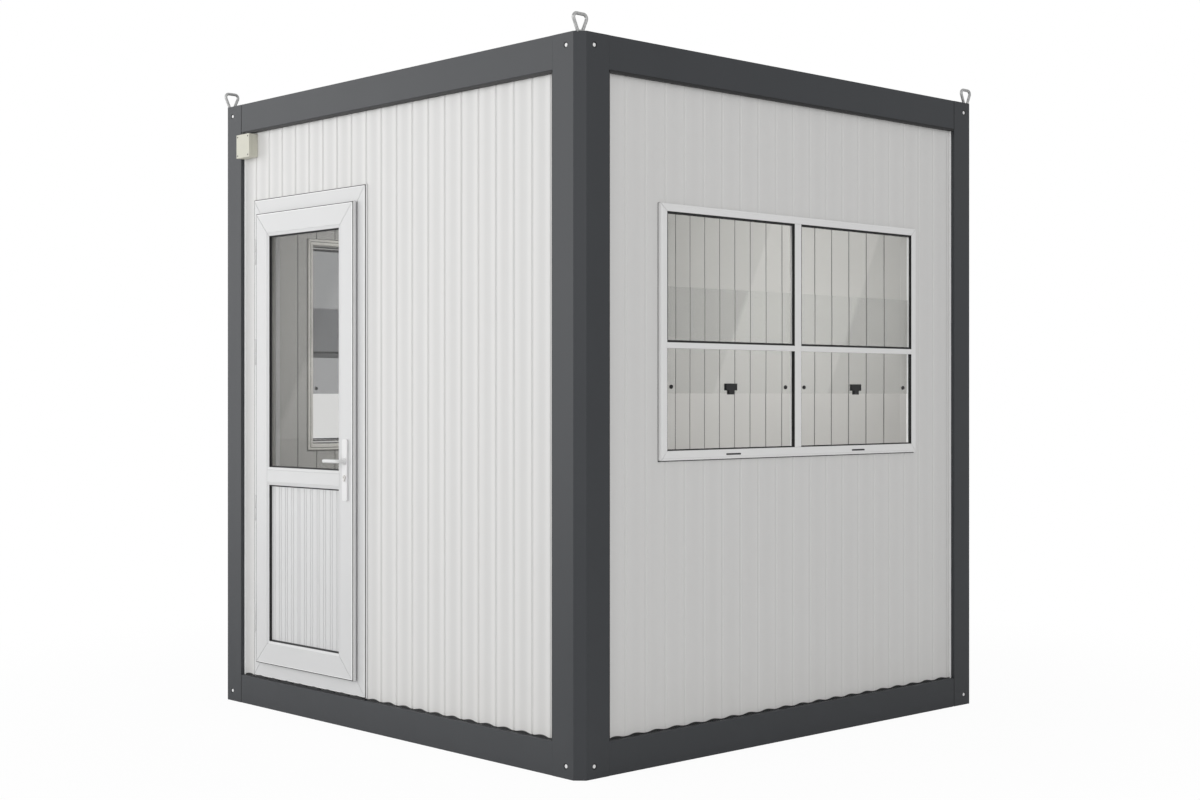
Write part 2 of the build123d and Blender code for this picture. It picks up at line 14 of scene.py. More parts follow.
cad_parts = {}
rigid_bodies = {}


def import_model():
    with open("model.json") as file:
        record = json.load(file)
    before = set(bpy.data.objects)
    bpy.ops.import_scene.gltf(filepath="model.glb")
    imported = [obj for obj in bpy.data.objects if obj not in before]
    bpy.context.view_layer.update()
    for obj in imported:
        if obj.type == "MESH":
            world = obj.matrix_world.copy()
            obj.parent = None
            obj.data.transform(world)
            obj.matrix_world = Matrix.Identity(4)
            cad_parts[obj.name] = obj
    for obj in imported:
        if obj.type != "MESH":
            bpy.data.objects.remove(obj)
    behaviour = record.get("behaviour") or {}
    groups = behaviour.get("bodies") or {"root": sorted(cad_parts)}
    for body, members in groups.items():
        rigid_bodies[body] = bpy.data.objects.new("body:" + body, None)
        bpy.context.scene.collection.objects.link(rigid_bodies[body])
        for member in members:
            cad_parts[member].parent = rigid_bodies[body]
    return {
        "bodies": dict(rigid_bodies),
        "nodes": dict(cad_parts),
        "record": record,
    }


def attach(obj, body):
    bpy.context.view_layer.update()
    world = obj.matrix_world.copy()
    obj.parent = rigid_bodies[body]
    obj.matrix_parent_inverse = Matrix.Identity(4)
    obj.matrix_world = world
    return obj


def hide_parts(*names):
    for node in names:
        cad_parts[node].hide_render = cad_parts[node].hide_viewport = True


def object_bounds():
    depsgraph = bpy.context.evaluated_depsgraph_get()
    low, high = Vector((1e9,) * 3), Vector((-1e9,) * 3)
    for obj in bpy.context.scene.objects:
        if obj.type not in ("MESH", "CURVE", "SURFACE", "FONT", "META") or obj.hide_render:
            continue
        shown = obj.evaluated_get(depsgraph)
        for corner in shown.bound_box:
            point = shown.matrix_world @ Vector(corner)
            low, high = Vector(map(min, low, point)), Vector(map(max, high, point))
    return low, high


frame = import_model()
cad_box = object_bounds()
nodes = frame["nodes"]
scene = bpy.context.scene
print("bodies", sorted(frame["bodies"]), "nodes", len(nodes), "box", cad_box)

# %% [markdown]
# The sizes that several pieces share are named once. They repeat the measured model: the cabin is 2.3 m
# square, the panels stand 20 mm behind the faces of the steel, and the ribs repeat every 100 mm.

# %% Shared sizes
HALF = 1.150
HEIGHT = 2.575
LIP = 0.020
WALL_FACE = HALF - LIP
INNER_HALF = 1.080
RAIL = 0.120
POST = 0.140
RIB_PITCH = 0.100
FRONT_PHASE = -0.020
SIDE_PHASE = -0.012
print("wall face at", WALL_FACE)

# %% [markdown]
# The photograph is taken from in front of the corner, at the height of a person's chest, with the camera
# held level. A camera is only a place, a direction and a lens, so it is set by those three.

# %% Camera
CAMERA_PLACE = (5.6272, -5.2465, 1.3235)
CAMERA_AIM = (-0.72994, 0.68351, 0)
camera_data = bpy.data.cameras.new("camera")
camera_data.lens = 53.23
camera_data.sensor_width = 36
camera_data.shift_y = -0.0040
camera_data.clip_end = 100
camera = bpy.data.objects.new("camera", camera_data)
scene.collection.objects.link(camera)
camera.location = CAMERA_PLACE
camera.rotation_euler = Vector(CAMERA_AIM).to_track_quat("-Z", "Y").to_euler()
scene.camera = camera
scene.view_settings.view_transform = "Standard"
print("camera", tuple(camera.location))

# %% [markdown]
# Every finish below is worked out from formulas instead of pictures. Node trees for such formulas are
# long to write by hand, so one small class stands for a socket, and plain Python signs make the nodes.

# %% Shader sums as Python
class Wire:
    """A value in a node tree; sums on it add Math nodes."""

    def __init__(self, tree, socket):
        self.tree = tree
        self.socket = socket

    def node(self, kind, settings=None, out=0, **inputs):
        """Any node: its settings, then its inputs by name, or by number as _0, _1 and so on."""
        made = self.tree.nodes.new(kind)
        for key, value in (settings or {}).items():
            setattr(made, key, value)
        for key, value in inputs.items():
            numbered = key[0] == "_" and key[1:].isdigit()
            plug = made.inputs[int(key[1:])] if numbered else made.inputs[key.replace("_", " ")]
            if isinstance(value, Wire):
                self.tree.links.new(value.socket, plug)
            else:
                plug.default_value = value
        return Wire(self.tree, made.outputs[out])

    def sum(self, operation, a, b=0.0, c=0.0):
        return self.node("ShaderNodeMath", {"operation": operation}, _0=a, _1=b, _2=c)

    def __add__(self, other):
        return self.sum("ADD", self, other)

    def __radd__(self, other):
        return self.sum("ADD", other, self)

    def __sub__(self, other):
        return self.sum("SUBTRACT", self, other)

    def __rsub__(self, other):
        return self.sum("SUBTRACT", other, self)

    def __mul__(self, other):
        return self.sum("MULTIPLY", self, other)

    def __truediv__(self, other):
        return self.sum("DIVIDE", self, other)

    def smooth(self, low, high):
        """0 below low, 1 above high, and a smooth step between."""
        step = {"interpolation_type": "SMOOTHSTEP"}
        return self.node("ShaderNodeMapRange", step, _0=self, _1=low, _2=high, _3=0.0, _4=1.0)


def new_material(name, look, **constants):
    """A Principled material in Object coordinates; look(place) gives the driven sockets."""
    material = bpy.data.materials.new(name)
    material.use_nodes = True
    tree = material.node_tree
    shader = tree.nodes["Principled BSDF"]
    for key, value in constants.items():
        shader.inputs[key.replace("_", " ")].default_value = value
    place = Wire(tree, tree.nodes.new("ShaderNodeTexCoord").outputs["Object"])
    for key, value in look(place).items():
        tree.links.new(value.socket, shader.inputs[key])
    return material


def noise(place, scale, detail=3.0, stretch=None):
    """Cloudy noise from 0 to 1; stretch scales the place along each axis."""
    if stretch:
        place = place.node("ShaderNodeVectorMath", {"operation": "MULTIPLY"}, _0=place, _1=stretch)
    return place.node("ShaderNodeTexNoise", Vector=place, Scale=scale, Detail=detail, Roughness=0.55)


def blend(factor, low, high):
    """A colour between two colours, each written as numbers or worked out."""
    ends = [value if isinstance(value, Wire) else (*value, 1) for value in (low, high)]
    return factor.node("ShaderNodeMix", {"data_type": "RGBA"}, out=2, _0=factor, _6=ends[0], _7=ends[1])


def part_of(place, axis):
    """One coordinate of a place: 0 for x, 1 for y, 2 for z."""
    return place.node("ShaderNodeSeparateXYZ", out=axis, Vector=place)


def bump(height, strength, distance):
    return height.node("ShaderNodeBump", Strength=strength, Distance=distance, Height=height)


print("shader helpers ready")

# %% [markdown]
# The steel frame is powder coated in anthracite. Powder coat flows into a fine orange peel, about a
# millimetre across, and fades unevenly; low down, rain throws up a little dust.

# %% Finish: powder coated steel
def steel_look(place):
    cloud = noise(place, 2.2, 4)
    streak = noise(place, 6, 3, stretch=(1, 1, 0.12))
    dust = (0.30 - part_of(place, 2) * 0.9).smooth(0.0, 0.34) * noise(place, 9, 4)
    base = blend(cloud * 0.6 + streak * 0.4, (0.031, 0.034, 0.039), (0.043, 0.047, 0.053))
    return {
        "Base Color": blend(dust * 0.14, base, (0.11, 0.11, 0.108)),
        "Roughness": 0.40 + cloud * 0.10 + dust * 0.25,
        "Normal": bump(noise(place, 650, 2) + noise(place, 3, 2) * 6, 0.10, 0.0006),
    }


steel_paint = new_material("anthracite_powder_coat", steel_look)
print("finish", steel_paint.name)

# %% [markdown]
# The wall sheets are thin steel in a baked white polyester. The coat is smooth, so its detail is broad:
# vertical wash marks and dust at the foot. Each groove, and the hollow between two grooves, is painted a
# little greyer: painted shade. How far a spot is from its groove follows from its place alone. The side
# walls have the finer ribs, so they take less of that painted shade.

# %% Finish: coated wall sheet
def facing(place, axis):
    """One coordinate of the direction that the surface faces."""
    normal = Wire(place.tree, place.tree.nodes.new("ShaderNodeNewGeometry").outputs["Normal"])
    return part_of(normal, axis)


def on_side_wall(place):
    """1 on the two walls that face along X, else 0."""
    return place.sum("GREATER_THAN", place.sum("ABSOLUTE", facing(place, 0)), 0.5)


def rib_distance(place):
    """The distance along a wall to the nearest groove, 0 in a groove and half the pitch between two."""
    outward = place.sum("SIGN", facing(place, 1))
    on_side = on_side_wall(place)
    front = part_of(place, 0) + outward * FRONT_PHASE
    along = on_side * (part_of(place, 1) - SIDE_PHASE) + (1.0 - on_side) * front * -1.0 * outward
    turn = place.sum("FRACT", along / RIB_PITCH + 100.5)
    return place.sum("ABSOLUTE", turn - 0.5) * RIB_PITCH


def sheet_look(place):
    cloud = noise(place, 1.3, 3)
    wash = noise(place, 9, 4, stretch=(1, 1, 0.06))
    foot = (0.42 - part_of(place, 2)).smooth(0.0, 0.30) * noise(place, 7, 5)
    streak = noise(place, 42, 2, stretch=(1, 1, 0.012))
    clean = blend(cloud * 0.3 + wash * 0.2 + streak * 0.5, (0.722, 0.718, 0.709), (0.772, 0.768, 0.759))
    away = rib_distance(place)
    # painted shade: grey in each groove and in the middle of each hollow between two grooves
    painted_rib_shade = away.smooth(0.014, 0.044) * 0.55 + (1.0 - away.smooth(0.0012, 0.0034)) * 0.80
    shaded = blend(painted_rib_shade * (0.34 - on_side_wall(place) * 0.27), clean, (0.36, 0.36, 0.355))
    return {
        "Base Color": blend(foot * 0.15, shaded, (0.50, 0.47, 0.42)),
        "Roughness": 0.36 + wash * 0.10 + foot * 0.2,
        "Normal": bump(noise(place, 480, 2) + noise(place, 5, 2) * 4, 0.06, 0.0005),
    }


sheet_paint = new_material("white_coated_sheet", sheet_look)
print("finish", sheet_paint.name)

# %% [markdown]
# Moulded plastic, rubber and smooth paint have much in common: a tint that drifts a little from place to
# place, a gloss that drifts with it, and a fine grain. One helper makes them all from those numbers. The
# door is a slightly greyer white than the windows, and a brighter white strip on its outer corners paints
# the highlight there.

# %% Finishes: plastic, rubber and smooth paint
def even_finish(name, cloud, low, high, rough, grain=None, **constants):
    """cloud is (scale, detail), rough is (lowest, spread), grain is (scale, detail, strength, distance)."""
    def look(place):
        shade = noise(place, *cloud)
        driven = {"Base Color": blend(shade, low, high), "Roughness": rough[0] + shade * rough[1]}
        if grain:
            scale, detail, strength, distance = grain
            driven["Normal"] = bump(noise(place, scale, detail), strength, distance)
        return driven

    return new_material(name, look, **constants)


lining_paint = even_finish(
    "white_inner_lining", (1.7, 3), (0.500, 0.494, 0.478), (0.555, 0.549, 0.532),
    (0.42, 0.10), (300, 2, 0.05, 0.0004),
)
pvc_white = even_finish(
    "white_pvc", (2.5, 3), (0.655, 0.657, 0.660), (0.695, 0.697, 0.698),
    (0.26, 0.06), (520, 2, 0.05, 0.0003),
    Coat_Weight=0.15, Coat_Roughness=0.2,
)
window_white = even_finish(
    "white_window_pvc", (3, 3), (0.845, 0.845, 0.843), (0.885, 0.885, 0.882),
    (0.28, 0.06), (520, 2, 0.05, 0.0003),
)
# painted highlight: a brighter white for the strips on the door's outer corners and for the bolt heads
highlight_white = even_finish(
    "bright_edge_bead", (6, 3), (0.90, 0.90, 0.90), (0.94, 0.94, 0.94),
    (0.20, 0.05), (600, 2, 0.04, 0.0003),
)
beige_pvc = even_finish(
    "beige_inner_casing", (5, 3), (0.80, 0.785, 0.74), (0.85, 0.835, 0.79),
    (0.38, 0.08), (500, 2, 0.06, 0.0003),
)
# black rubber, which also paints shade in the black strips, cores, liners and rings put in gaps and recesses
black_rubber_and_shade = even_finish(
    "black_rubber", (14, 4), (0.010, 0.010, 0.011), (0.026, 0.026, 0.027),
    (0.50, 0.20), (900, 3, 0.25, 0.0003),
)
# painted shade: the grey of the ring round the door frame on the wall
grey_sealant = even_finish(
    "grey_sealant", (30, 3), (0.46, 0.46, 0.46), (0.54, 0.54, 0.54),
    (0.50, 0.10), (500, 2, 0.08, 0.0003),
)
joint_shade = even_finish(
    "shaded_sheet_joint", (40, 3), (0.10, 0.10, 0.098), (0.15, 0.15, 0.146), (0.60, 0.10),
)
ivory_plastic = even_finish(
    "ivory_plastic", (8, 3), (0.60, 0.59, 0.50), (0.67, 0.66, 0.57),
    (0.42, 0.10), (800, 2, 0.15, 0.0003),
)
gland_plastic = even_finish(
    "grey_gland_plastic", (20, 3), (0.045, 0.047, 0.042), (0.075, 0.077, 0.070),
    (0.45, 0.10), (900, 2, 0.15, 0.0003),
)
black_plastic = even_finish(
    "black_moulded_plastic", (25, 3), (0.008, 0.008, 0.009), (0.018, 0.018, 0.019),
    (0.38, 0.12), (1100, 2, 0.2, 0.0002),
)
handle_paint = even_finish(
    "white_handle_coat", (30, 3), (0.74, 0.74, 0.745), (0.80, 0.80, 0.80),
    (0.26, 0.06), (700, 2, 0.05, 0.0003),
    Coat_Weight=0.3, Coat_Roughness=0.15,
)
print("materials", len(bpy.data.materials))

# %% [markdown]
# Glass shows the room behind it and, faintly, the studio. Lamps have to pass straight through it, or the
# room stays dark, so for shadow rays the glass is simply clear. A slanting band of the pane is brighter,
# as a studio panel makes it. The door and the side window have greyer glass than the service window.

# %% Finish: glass
GLASS_BEND = 1.20
DIM_PART = 0.91


def glass_material(name, colour, sheen):
    """Glass of a colour, a little dimmer where sheen(place) is 0."""
    material = bpy.data.materials.new(name)
    material.use_nodes = True
    tree = material.node_tree
    shader = tree.nodes["Principled BSDF"]
    shader.inputs["Transmission Weight"].default_value = 1
    shader.inputs["IOR"].default_value = GLASS_BEND
    shader.inputs["Roughness"].default_value = 0
    place = Wire(tree, tree.nodes.new("ShaderNodeTexCoord").outputs["Object"])
    dim = tuple(value * DIM_PART for value in colour)
    tree.links.new(blend(sheen(place), dim, colour).socket, shader.inputs["Base Color"])
    tree.links.new(bump(noise(place, 1.2, 1), 0.05, 0.002).socket, shader.inputs["Normal"])
    clear = place.node("ShaderNodeBsdfTransparent", Color=(*colour, 1))
    shadow_ray = place.node("ShaderNodeLightPath", out=1)
    both = place.node("ShaderNodeMixShader", _0=shadow_ray, _1=Wire(tree, shader.outputs[0]), _2=clear)
    tree.links.new(both.socket, tree.nodes["Material Output"].inputs["Surface"])
    return material


def window_sheen(place):
    slant = part_of(place, 1) - (part_of(place, 2) - 1.98) * 0.485
    band = slant.smooth(-0.150, -0.130) * (1.0 - slant.smooth(0.510, 0.530))
    return band * 0.75 + slant.smooth(-0.9, -0.15) * 0.25


def door_sheen(place):
    slant = part_of(place, 0) - (part_of(place, 2) - 1.83) * 0.70 + 0.27
    return 0.35 + slant.smooth(-0.01, 0.01) * 0.65


clear_glass = glass_material("clear_float_glass", (0.92, 0.925, 0.92), window_sheen)
door_glass = glass_material("grey_door_glass", (0.79, 0.79, 0.785), door_sheen)
tinted_glass = glass_material("grey_window_glass", (0.48, 0.485, 0.495), window_sheen)
print("materials", len(bpy.data.materials))

# %% [markdown]
# Bare metal: hot-dip zinc crystallises in spangles a few millimetres across, and the lock's nickel is
# brushed. The floor covering has fine flecks, and rain leaves long stains on the roof sheet.

# %% Finishes: metal, floor and roof
def galvanised_look(place):
    spangle = place.node("ShaderNodeTexVoronoi", {"feature": "F1"}, out=1, Vector=place, Scale=160.0)
    grain = spangle.node("ShaderNodeSeparateColor", _0=spangle)
    cloud = noise(place, 30, 3)
    return {
        "Base Color": blend(grain * 0.5 + cloud * 0.5, (0.34, 0.345, 0.35), (0.70, 0.70, 0.69)),
        "Roughness": 0.28 + grain * 0.22,
        "Normal": bump(cloud + noise(place, 400, 2) * 0.4, 0.20, 0.0004),
    }


def nickel_look(place):
    brush = noise(place, 90, 3, stretch=(1, 1, 12))
    return {
        "Base Color": blend(brush, (0.48, 0.47, 0.45), (0.62, 0.61, 0.59)),
        "Roughness": 0.26 + brush * 0.14,
        "Normal": bump(brush, 0.1, 0.0002),
    }


def floor_cover_look(place):
    fleck = place.node("ShaderNodeTexVoronoi", {"feature": "F1"}, Vector=place, Scale=220.0)
    cloud = noise(place, 3, 4)
    share = cloud * 0.6 + fleck.smooth(0.0, 0.6) * 0.4
    return {
        "Base Color": blend(share, (0.30, 0.295, 0.28), (0.42, 0.41, 0.39)),
        "Roughness": 0.38 + cloud * 0.15,
        "Normal": bump(noise(place, 350, 3), 0.12, 0.0004),
    }


def roof_look(place):
    stain = noise(place, 5, 5, stretch=(1, 0.10, 1))
    share = noise(place, 1.6, 4) * 0.5 + stain * 0.5
    return {
        "Base Color": blend(share, (0.50, 0.505, 0.50), (0.60, 0.605, 0.60)),
        "Roughness": 0.62 + stain * 0.16,
        "Normal": bump(noise(place, 450, 2), 0.06, 0.0005),
    }


galvanised = new_material("galvanised_steel", galvanised_look, Metallic=0.6)
nickel = new_material("satin_nickel", nickel_look, Metallic=1.0)
floor_cover = new_material("flecked_floor_covering", floor_cover_look)
roof_paint = new_material("light_grey_roof_coat", roof_look, Specular_IOR_Level=0.2)
print("materials", len(bpy.data.materials))

# %% [markdown]
# Pieces are finished at the origin, unturned: their place is in their mesh. A piece for a side wall is
# drawn as if it stood on the front wall, and its points are turned round the middle of the cabin.

# %% Making, turning and joining pieces
TURNS = {"front": 0, "right": math.pi / 2, "back": math.pi, "left": -math.pi / 2}
UPWARDS = Matrix.Rotation(-math.pi / 2, 4, "X")
slot_of = {row["node"]: row["material_slot"] for row in frame["record"]["subparts"]}
body_of = {name: body for body, names in frame["record"]["behaviour"]["bodies"].items() for name in names}


def piece(name, mesh, slot, body="cabin", materials=(), nodes_replaced=()):
    """Link a mesh as a piece of the cabin and tell the frame what it rides on and stands for."""
    mesh.name = name
    made = bpy.data.objects.new(name, mesh)
    scene.collection.objects.link(made)
    if materials:
        mesh.materials.clear()
        mesh.polygons.foreach_set("material_index", [0] * len(mesh.polygons))
        for material in materials:
            mesh.materials.append(material)
    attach(made, body)
    if nodes_replaced:
        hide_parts(*nodes_replaced)
    return made


def turned(mesh, side):
    """Turn a mesh drawn on the front wall to another wall."""
    mesh.transform(Matrix.Rotation(TURNS[side], 4, "Z"))
    return mesh


def on_each_side(mesh):
    """The same mesh on all four walls."""
    return joined("four", [turned(mesh.copy(), side) for side in TURNS])


def joined(name, meshes):
    """One mesh from several, with the materials of the first."""
    store = bmesh.new()
    for mesh in meshes:
        store.from_mesh(mesh)
    whole = bpy.data.meshes.new(name)
    store.to_mesh(whole)
    store.free()
    for material in meshes[0].materials:
        whole.materials.append(material)
    return whole


def placed(mesh, x, y, z):
    """A copy of a mesh moved to a place."""
    copy = mesh.copy()
    copy.transform(Matrix.Translation((x, y, z)))
    return copy


def mirrored(mesh, axis):
    """A copy of a mesh mirrored along an axis, with its faces outwards again."""
    copy = mesh.copy()
    copy.transform(Matrix.Scale(-1, 4, axis))
    copy.flip_normals()
    return copy


print("slots", sorted(set(slot_of.values())))

# %% [markdown]
# No real edge is perfectly sharp: a folded sheet has a radius, and a moulded part is broken at its edges.
# A bevel gives both. A folded profile is rounded only along its bends, because its cut ends stay sharp.

# %% Softer edges
SHARP = 0.6


def with_modifier(mesh, kind, **values):
    """The mesh after one modifier."""
    stand = bpy.data.objects.new("stand", mesh)
    scene.collection.objects.link(stand)
    modifier = stand.modifiers.new(kind, kind)
    for key, value in values.items():
        setattr(modifier, key, value)
    bpy.context.view_layer.update()
    done = bpy.data.meshes.new_from_object(stand.evaluated_get(bpy.context.evaluated_depsgraph_get()))
    bpy.data.objects.remove(stand)
    return done


def soft_edges(mesh, width, segments=2):
    """Round the sharp edges of a mesh a little."""
    return with_modifier(
        mesh, "BEVEL", width=width, segments=segments, angle_limit=SHARP, harden_normals=True,
    )


def soft_folds(mesh, axis, width, segments=2):
    """Round only the sharp edges that run along one axis."""
    store = bmesh.new()
    store.from_mesh(mesh)
    weight = store.edges.layers.float.new("bevel_weight_edge")
    for edge in store.edges:
        run = (edge.verts[1].co - edge.verts[0].co).normalized()
        if abs(run[axis]) > 0.99 and edge.calc_face_angle(0) > 0.5:
            edge[weight] = 1.0
    store.to_mesh(mesh)
    store.free()
    return with_modifier(
        mesh, "BEVEL", width=width, segments=segments, limit_method="WEIGHT", harden_normals=True,
    )


def rounded_look(mesh):
    """Smooth shading, with the sharp edges left crisp."""
    mesh.shade_smooth()
    mesh.set_sharp_from_angle(angle=SHARP)
    return mesh


def closed_mesh(store, name):
    """A mesh from a bmesh, with its faces outwards."""
    bmesh.ops.recalc_face_normals(store, faces=store.faces)
    mesh = bpy.data.meshes.new(name)
    store.to_mesh(mesh)
    store.free()
    return mesh


def merged_copy(node):
    """A copy of a measured node's mesh with its doubles merged and its flat faces joined."""
    store = bmesh.new()
    store.from_mesh(nodes[node].data)
    bmesh.ops.remove_doubles(store, verts=store.verts, dist=0.00001)
    bmesh.ops.dissolve_limit(store, angle_limit=0.02, verts=store.verts, edges=store.edges)
    return closed_mesh(store, node)


def softened(node, width, material, segments=2):
    """Stand a copy with rounded edges in for a measured node."""
    mesh = soft_edges(merged_copy(node), width, segments)
    return piece(node + "_finished", mesh, slot_of[node], body_of[node], [material], [node])


print("edge helpers ready")

# %% [markdown]
# Turned parts come from a profile spun about an axis, and bent bars from a circle carried along a path
# whose corners are rounded. Both end closed, so that light meets a solid.

# %% Turned parts and bent bars
def skinned(store, loops):
    """Faces between loops of points, with both ends capped."""
    store.faces.new(loops[0])
    store.faces.new(list(reversed(loops[-1])))
    for one, two in zip(loops, loops[1:]):
        for k in range(len(one)):
            n = (k + 1) % len(one)
            store.faces.new((one[k], two[k], two[n], one[n]))


def lathe(profile, segments=24, closed=False):
    """Turn a profile of (radius, depth) points about the Y axis."""
    store = bmesh.new()
    turns = [2 * math.pi * k / segments for k in range(segments)]
    rings = []
    for radius, depth in profile:
        spokes = turns if radius else [0]
        rings.append([store.verts.new((radius * math.cos(a), depth, radius * math.sin(a))) for a in spokes])
    after = rings[1:] + rings[:1] if closed else rings[1:]
    for one, two in zip(rings, after):
        for k in range(segments):
            n = (k + 1) % segments
            loop = [one[k % len(one)], one[n % len(one)], two[n % len(two)], two[k % len(two)]]
            loop = list(dict.fromkeys(loop))
            if len(loop) > 2:
                store.faces.new(loop)
    return rounded_look(closed_mesh(store, "lathe"))


def rounded_path(points, radius, steps=10):
    """A path through points with its inner corners rounded."""
    points = [Vector(point) for point in points]
    path = [points[0]]
    for before, corner, after in zip(points, points[1:], points[2:]):
        back = (before - corner).normalized()
        ahead = (after - corner).normalized()
        half = back.angle(ahead) / 2
        centre = corner + (back + ahead).normalized() * radius / math.sin(half)
        start = corner + back * radius / math.tan(half)
        end = corner + ahead * radius / math.tan(half)
        for k in range(steps + 1):
            path.append(centre + (start - centre).lerp(end - centre, k / steps).normalized() * radius)
    path.append(points[-1])
    return path


def rod(path, across, width, height, sizes=None, segments=24):
    """A closed rod along a flat path; across is the direction square to the path's plane."""
    across = Vector(across)
    store = bmesh.new()
    loops = []
    for k, point in enumerate(path):
        run = (path[min(k + 1, len(path) - 1)] - path[max(k - 1, 0)]).normalized()
        side = across.cross(run).normalized()
        size = sizes[k] if sizes else 1
        loop = []
        for step in range(segments):
            turn = 2 * math.pi * step / segments
            spoke = side * math.cos(turn) * width + across * math.sin(turn) * height
            loop.append(store.verts.new(point + spoke / 2 * size))
        loops.append(loop)
    skinned(store, loops)
    return rounded_look(closed_mesh(store, "rod"))


print("lathe and rod ready")

# %% [markdown]
# Door and window profiles are cut at 45 degrees and welded at the corners, which leaves a fine line from
# corner to corner. A ring of four separate members, with a hair of room between them, shows that line.

# %% Mitred rings and straight bars
def inset(rect, amount):
    left, right, low, high = rect
    return (left + amount, right - amount, low + amount, high - amount)


def mitred(section, gap=0.0008):
    """Four members round a rectangle. The section is a loop of (rectangle, depth) points."""
    store = bmesh.new()
    corners = [(0, 2), (1, 2), (1, 3), (0, 3)]
    outline = section[0][0]
    for index in range(4):
        first, second = corners[index], corners[(index + 1) % 4]
        across = outline[second[0]] - outline[first[0]]
        rise = outline[second[1]] - outline[first[1]]
        run = Vector((across, 0, rise)).normalized()
        ends = []
        for corner, shift in ((first, gap), (second, -gap)):
            loop = [Vector((rect[corner[0]], depth, rect[corner[1]])) + run * shift for rect, depth in section]
            ends.append([store.verts.new(point) for point in loop])
        skinned(store, ends)
    return closed_mesh(store, "ring")


def square_ring(outer, inner, front, back):
    """A ring of plain square section between two rectangles and two depths."""
    return mitred([(outer, front), (inner, front), (inner, back), (outer, back)], 0.0)


def bar_along(section, left, right):
    """A straight member along X from a loop of (height, depth) points."""
    store = bmesh.new()
    skinned(store, [[store.verts.new((x, depth, height)) for height, depth in section] for x in (left, right)])
    return closed_mesh(store, "bar")


def square_bar(low, high, front, back, left, right):
    """A straight member of plain square section."""
    return bar_along([(low, front), (high, front), (high, back), (low, back)], left, right)


def stood_up(mesh):
    """Stand a bar drawn along X upright: X becomes Z and Z becomes X."""
    mesh.transform(Matrix(((0, 0, 1, 0), (0, 1, 0, 0), (1, 0, 0, 0), (0, 0, 0, 1))))
    mesh.flip_normals()
    return mesh


print("ring and bar makers ready")

# %% [markdown]
# A wall sheet follows one rule along its whole length: a narrow groove every 100 mm, and between two
# grooves a very shallow hollow. Geometry Nodes can apply that rule to a fine grid, so that the ribs are
# real shape: each upright strip is a closed slab, ribbed outside and flat with fine joints inside.

# %% Geometry Nodes: a tree as Python
class Tree:
    """A Geometry Nodes tree with named inputs, written as short calls."""

    def __init__(self, name, inputs):
        self.tree = bpy.data.node_groups.new(name, "GeometryNodeTree")
        self.tree.interface.new_socket("Geometry", in_out="OUTPUT", socket_type="NodeSocketGeometry")
        self.names = {}
        for label, kind in inputs.items():
            made = self.tree.interface.new_socket(label, in_out="INPUT", socket_type="NodeSocket" + kind)
            self.names[label] = made.identifier
        self.source = self.tree.nodes.new("NodeGroupInput")

    def __getitem__(self, label):
        return Wire(self.tree, self.source.outputs[label])

    def node(self, kind, settings=None, out=0, **inputs):
        return Wire(self.tree, None).node(kind, settings, out, **inputs)

    def finish(self, geometry):
        end = self.tree.nodes.new("NodeGroupOutput")
        self.tree.links.new(geometry.socket, end.inputs["Geometry"])

    def mesh(self, **values):
        """Run the tree with these input values and return a plain mesh."""
        stand = bpy.data.objects.new("stand", bpy.data.meshes.new("stand"))
        scene.collection.objects.link(stand)
        modifier = stand.modifiers.new("nodes", "NODES")
        modifier.node_group = self.tree
        for label, value in values.items():
            modifier[self.names[label.replace("_", " ")]] = value
        bpy.context.view_layer.update()
        done = bpy.data.meshes.new_from_object(stand.evaluated_get(bpy.context.evaluated_depsgraph_get()))
        stand.modifiers.remove(modifier)
        bpy.data.objects.remove(stand)
        return done


print("tree helper ready")

# %% Geometry Nodes: the ribbed slab
slab = Tree("ribbed_slab", {
    "Left": "Float", "Right": "Float", "Low": "Float", "High": "Float", "Columns": "Int", "Phase": "Float",
    "Pitch": "Float", "Groove Width": "Float", "Groove Depth": "Float", "Hollow": "Float",
    "Outer Face": "Float", "Inner Face": "Float", "Joint Depth": "Float", "Scallop": "Float",
    "Outer": "Material", "Inner": "Material", "Joint": "Material",
})
length = slab["Right"] - slab["Left"]
height = slab["High"] - slab["Low"]
mid_height = (slab["Low"] + slab["High"]) * 0.5
grid = slab.node("GeometryNodeMeshGrid", Size_X=length, Size_Y=height, Vertices_X=slab["Columns"], Vertices_Y=2)
mid_length = (slab["Left"] + slab["Right"]) * 0.5
middle = slab.node("ShaderNodeCombineXYZ", X=mid_length, Y=slab["Outer Face"], Z=mid_height)
sheet = slab.node("GeometryNodeTransform", Geometry=grid, Translation=middle, Rotation=(-math.pi / 2, 0, 0))
thickness = slab.node("ShaderNodeCombineXYZ", Y=slab["Inner Face"] - slab["Outer Face"])
deep = slab.node("GeometryNodeExtrudeMesh", Mesh=sheet, Offset=thickness, Offset_Scale=1.0, Individual=False)
outer = slab.node("GeometryNodeFlipFaces", Mesh=sheet)
both = slab.tree.nodes.new("GeometryNodeJoinGeometry")
slab.tree.links.new(deep.socket, both.inputs[0])
slab.tree.links.new(outer.socket, both.inputs[0])
closed = slab.node("GeometryNodeMergeByDistance", Geometry=Wire(slab.tree, both.outputs[0]), Distance=0.0001)

